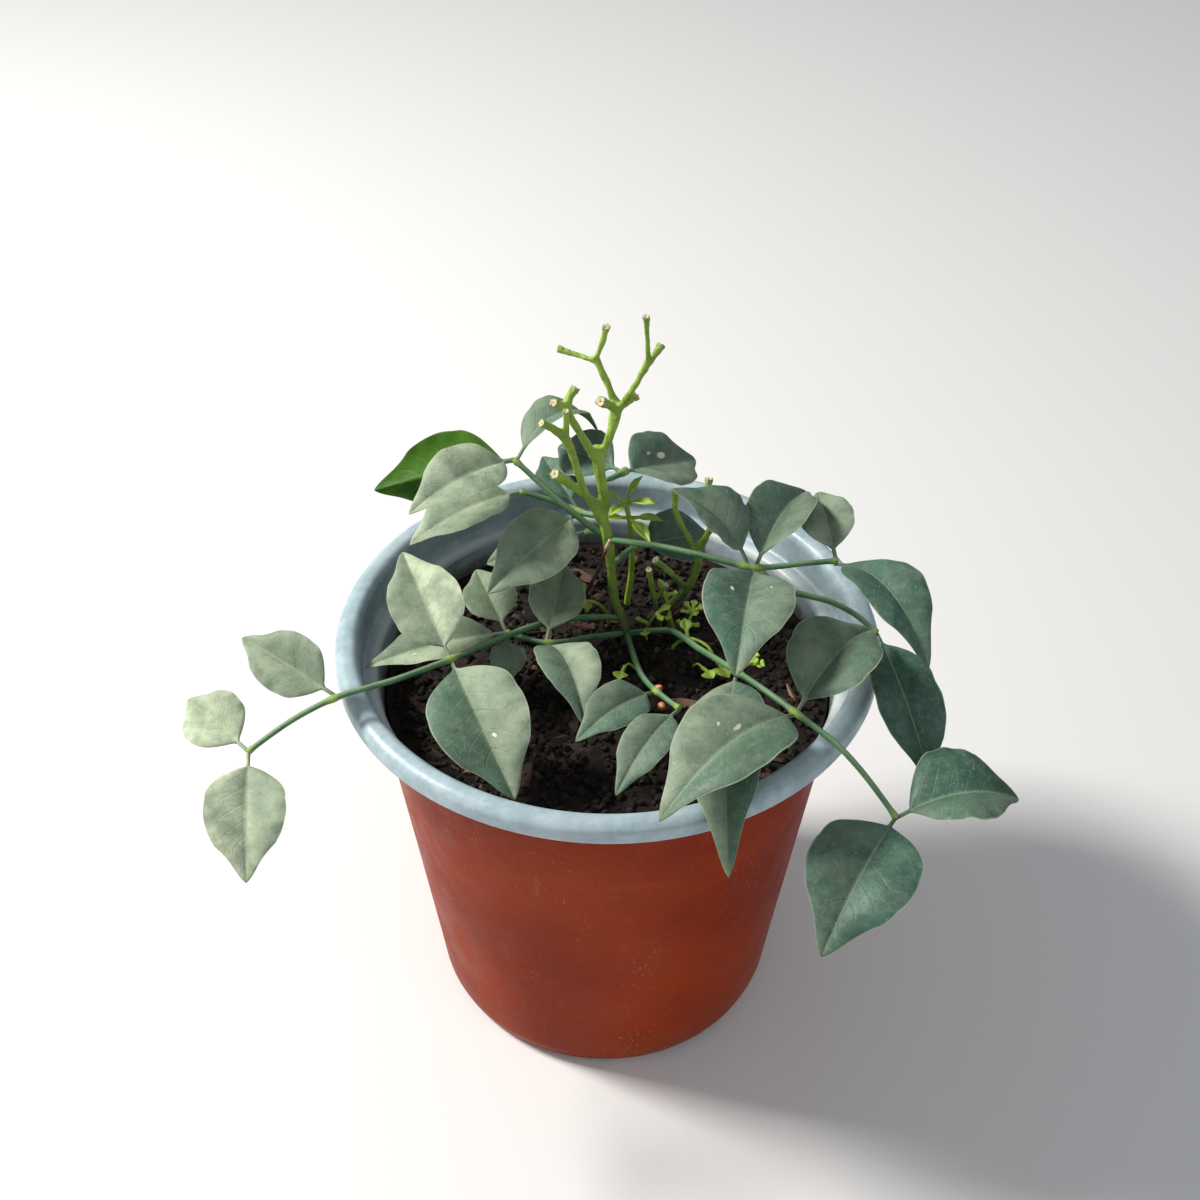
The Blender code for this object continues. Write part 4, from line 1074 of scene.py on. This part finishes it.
# --------------------------------------------------------------------------
# Fresh growth: a young shoot behind the main stem, a seedling and a sprig in
# the mix.  All are soft and bright yellow-green, with small thin leaves.
# --------------------------------------------------------------------------
fresh_skin, tree, shader, place = new_material("fresh_leaf_skin")
flat = node(tree, "ShaderNodeUVMap", uv_map="UVMap").outputs[0]
parts = node(tree, "ShaderNodeSeparateXYZ", {0: flat}).outputs
off_rib = calc(tree, "ABSOLUTE", calc(tree, "MULTIPLY_ADD", parts[1], 2.0, -1.0))
broad = noise(tree, place, 300.0, 4.0)
fresh = tint(
    tree, blend(tree, step_between(tree, broad, 0.3, 0.7), (0.24, 0.40, 0.030), (0.42, 0.56, 0.080)),
    (step_between(tree, off_rib, 0.12, 0.02), 0.5, (0.52, 0.64, 0.20)),
)
dress(tree, shader, fresh, step_between(tree, broad, 0.3, 0.7, 0.40, 0.58))
relief(tree, shader, noise(tree, place, 1500.0, 3.0), 0.0002, 0.5)

# Stem points (across, back, up from the mix, radius), then small leaves
# (point, length, width, heading, pitch).
FRESH = {
    "young_shoot": ([(6, 34, -8, 1.05), (6, 34, 0, 1.0), (7, 33, 12, 0.9), (7, 31, 26, 0.85),
                     (6, 30, 35, 0.8), (5, 30, 40, 0.7)],
                    [(5, 9, 3.2, 200, 40), (5, 12, 4.0, -40, 25), (5, 10, 3.4, 20, 60), (5, 9, 3.4, -120, 10),
                     (4, 12, 3.6, -60, -5), (4, 10, 3.4, -15, 5), (4, 9, 3.2, -150, 15)]),
    "seedling": ([(0.5, 26, -5, 0.55), (0, 25, 3, 0.55), (-3, 23, 9, 0.5), (-6.5, 20, 12.5, 0.45)],
                 [(3, 6.5, 3.2, 200, 20), (3, 6.0, 3.0, -80, 10), (3, 6.0, 3.0, 110, 45)]),
    "sprig": ([(18, 12, -5, 0.55), (19, 12, 2, 0.55), (23, 9, 8, 0.5), (28, 5, 9, 0.45), (31, 2, 5.5, 0.4)],
              [(4, 6.5, 5.6, -60, -10), (2, 6.5, 3.6, 100, 25)]),
}
# The level that the plant's heights were counted from; the mix is heaped a little over it.
MIX_LEVEL = 112.0


def pointing(heading, pitch):
    """Unit vector at a heading from +X and a pitch above level, in degrees."""
    turn, rise = math.radians(heading), math.radians(pitch)
    return np.array([math.cos(turn) * math.cos(rise), math.sin(turn) * math.cos(rise), math.sin(rise)])


def shoot_blocks(route, leaves, rng, spacing, sides, rows, columns, fold, twist):
    """A tube along a shoot's route and a small blade on each point that bears one."""
    route = np.array(route, float)
    spots = route[:, :3] + (0, 0, MIX_LEVEL)
    line, run = smooth_line(spots, spacing)
    radius = np.interp(run / run[-1], np.linspace(0, 1, len(route)), route[:, 3])
    points, faces, _ = swept(line, radius, sides)
    blocks = [(points, faces, np.full((len(points), 2), 0.7))]
    for point, length, width, heading, pitch in leaves:
        along, side = pointing(heading, pitch), pointing(heading + 90, 0)
        shape = (spots[point], along, side, np.cross(along, side), length, width, 0.05 * length, fold, twist)
        blocks.append(blade_surface(shape, rng, 0.0, rows, columns, 0.2, 0.3)[:3])
    return blocks


for order, (name, (route, leaves)) in enumerate(FRESH.items()):
    rng = np.random.default_rng(40 + order)
    blocks = shoot_blocks(route, leaves, rng, spacing=0.6, sides=12, rows=22, columns=11,
                          fold=0.28, twist=0.1)
    points, faces, uv = joined(blocks)
    shoot = new_piece(name + "_growth", points, faces, [fresh_skin], uv, smooth_angle=80)
    settle(shoot, "fresh_shoot", name)

# Sprouts that stand for no node: thread-like seedlings in the mix and a tuft
# in a leaf joint, laid out as above.
SPROUTS = [
    ([(22, 17, -3, 0.5), (23.5, 18.5, 5, 0.45), (24.5, 19, 9, 0.4)],
     [(2, 4.2, 2.4, 5, 35), (2, 4.2, 2.2, 75, 30), (2, 4.0, 2.4, 140, 40), (2, 4.2, 2.2, 205, 25),
      (2, 4.4, 2.4, 285, 30), (1, 3.8, 2.2, 330, 15), (1, 3.8, 2.2, 180, 15)]),
    ([(23, 7, -3, 0.4), (25.5, 4, 2.8, 0.35), (27.2, 2, 3.0, 0.3)], [(2, 5.6, 5.6, -60, 5)]),
    ([(9, 6, -3, 0.4), (6.5, 2.5, 4, 0.35), (5, 1, 4.4, 0.3)], [(2, 5.0, 4.6, -110, -10)]),
    ([(12, 18, -3, 0.4), (11.2, 16, 3, 0.35), (10.9, 15.5, 5.5, 0.3)], [(2, 4.0, 3.4, -90, 15)]),
    ([(10, 20, -3, 0.45), (12, 17.5, 6, 0.4), (14, 15, 12, 0.35)],
     [(2, 5.0, 2.2, 10, 30), (2, 5.0, 2.0, -70, 15), (1, 4.4, 2.2, 170, 20)]),
    ([(20, 22, -3, 0.5), (18, 19, 9, 0.45), (16.5, 17, 17, 0.4)],
     [(2, 5.4, 2.0, 120, 45), (2, 5.0, 2.0, -30, 35), (1, 4.6, 2.0, -100, 10)]),
    ([(34.6, -22.4, 24.8, 0.5), (36.4, -21.6, 25.6, 0.45), (37.6, -20.9, 25.8, 0.4)],
     [(1, 4.2, 2.8, 10, 25), (2, 4.6, 3.0, -25, 10), (2, 4.2, 2.6, 55, 15), (2, 3.8, 2.4, 110, 30)]),
]
rng = np.random.default_rng(60)
blocks = []
for route, leaves in SPROUTS:
    blocks += shoot_blocks(route, leaves, rng, spacing=0.5, sides=10, rows=14, columns=9,
                           fold=0.25, twist=0.3)
points, faces, uv = joined(blocks)
sprouts = new_piece("soil_sprouts", points, faces, [fresh_skin], uv, smooth_angle=80)
settle(sprouts, "fresh_shoot")

# Two closed pink buds in a joint of the front leaf stalk.
bud_skin, tree, shader, place = new_material("pink_bud_skin")
mixed = step_between(tree, noise(tree, place, 900.0, 3.0), 0.3, 0.7)
dress(tree, shader, blend(tree, mixed, (0.42, 0.13, 0.055), (0.62, 0.26, 0.11)), 0.55)
blocks = []
for start, end in (((12.6, -18.6, 13.0), (14.6, -19.8, 16.4)), ((14.2, -23.2, 12.6), (15.0, -25.8, 14.4))):
    line, run = smooth_line(np.array([start, np.add(start, end) / 2, end]) + (0, 0, MIX_LEVEL), 0.25)
    radius = 0.12 + 1.0 * np.sin(np.pi * np.clip(run / run[-1], 0, 1)) ** 0.7
    blocks.append(swept(line, radius, 12))
points, faces, _ = joined(blocks)
buds = new_piece("pink_buds", points, faces, [bud_skin], smooth_angle=80)
settle(buds, "fresh_shoot")

# --------------------------------------------------------------------------
# The dead twig is a thin, dry, red-brown shoot with a pale broken tip, which
# leans against the main stem.
# --------------------------------------------------------------------------
dead_bark, tree, shader, place = new_material("dead_bark")
share = carried_value(tree, "share")
grain = noise(tree, stretched(tree, place, (1400, 1400, 300)), 1.0, 5.0, 0.65)
dry = tint(
    tree, blend(tree, step_between(tree, grain, 0.35, 0.7), (0.045, 0.016, 0.012), (0.150, 0.060, 0.042)),
    (step_between(tree, share, 0.88, 0.97), 1.0, (0.52, 0.38, 0.26)),
)
dress(tree, shader, dry, 0.85)
relief(tree, shader, grain, 0.0004, 0.8)

centres = ring_centres("dead_twig", 7, np.array([-8, 28, 0.0]))
line, run = smooth_line(centres, 0.5)
knots = np.exp(-((run / run[-1] - 0.93) / 0.03) ** 2) + 0.6 * np.exp(-((run / run[-1] - 0.45) / 0.02) ** 2)
radius = np.linspace(0.60, 0.46, len(line)) * (1 + 0.5 * knots + 0.10 * np.sin(3.1 * run) * np.sin(1.3 * run))
points, faces, _ = swept(line, radius, 12, lambda turn: 0.10 * np.sin(3 * turn))
share_value = np.concatenate([np.repeat(run / run[-1], 12), [0.0, 1.0]])
twig = new_piece("dead_twig_bark", points, faces, [dead_bark], values={"share": share_value}, smooth_angle=80)
settle(twig, "dead_twig", "dead_twig")

# --------------------------------------------------------------------------
# Pale floor, soft studio light from the back left, and the camera.
# --------------------------------------------------------------------------
floor_finish, tree, shader, place = new_material("studio_floor")
dress(tree, shader, (0.78, 0.78, 0.78), 0.9)
half_floor = 4000.0
floor_points = np.array([(-half_floor, -half_floor, 0), (half_floor, -half_floor, 0),
                         (half_floor, half_floor, 0), (-half_floor, half_floor, 0)], float)
floor = new_piece("studio_floor", floor_points, [np.array([[0, 1, 2, 3]])], [floor_finish])


def soft_box(name, place_at, aim, size, power, colour):
    """A square area light aimed at a point."""
    lamp = bpy.data.lights.new(name, "AREA")
    lamp.size = size
    lamp.energy = power
    lamp.color = colour
    holder = bpy.data.objects.new(name, lamp)
    holder.location = place_at
    towards = np.array(aim) - np.array(place_at)
    towards /= np.linalg.norm(towards)
    holder.rotation_euler = (math.acos(-towards[2]), 0.0, math.atan2(-towards[0], towards[1]))
    bpy.context.scene.collection.objects.link(holder)


soft_box("key_light", (-0.82, 0.16, 0.90), (0.0, 0.0, 0.12), 0.24, 19.0, (1.0, 0.97, 0.91))
soft_box("fill_light", (0.55, -0.85, 0.75), (0.0, 0.0, 0.10), 0.9, 2.2, (0.92, 0.96, 1.0))
world = bpy.data.worlds.new("studio_sky")
world.use_nodes = True
world.node_tree.nodes["Background"].inputs[0].default_value = (0.93, 0.96, 1.0, 1.0)
world.node_tree.nodes["Background"].inputs[1].default_value = 0.34
bpy.context.scene.world = world
bpy.context.scene.view_settings.view_transform = "Standard"

camera_data = bpy.data.cameras.new("camera")
camera_data.lens = 54.66
camera_data.sensor_width = 36.0
camera_data.clip_start = 0.01
camera = bpy.data.objects.new("camera", camera_data)
camera.location = (-0.0021, -0.3789, 0.4640)
camera.rotation_mode = "ZYX"
camera.rotation_euler = (math.radians(49.627), 0.0, math.radians(0.323))
bpy.context.scene.collection.objects.link(camera)
bpy.context.scene.camera = camera
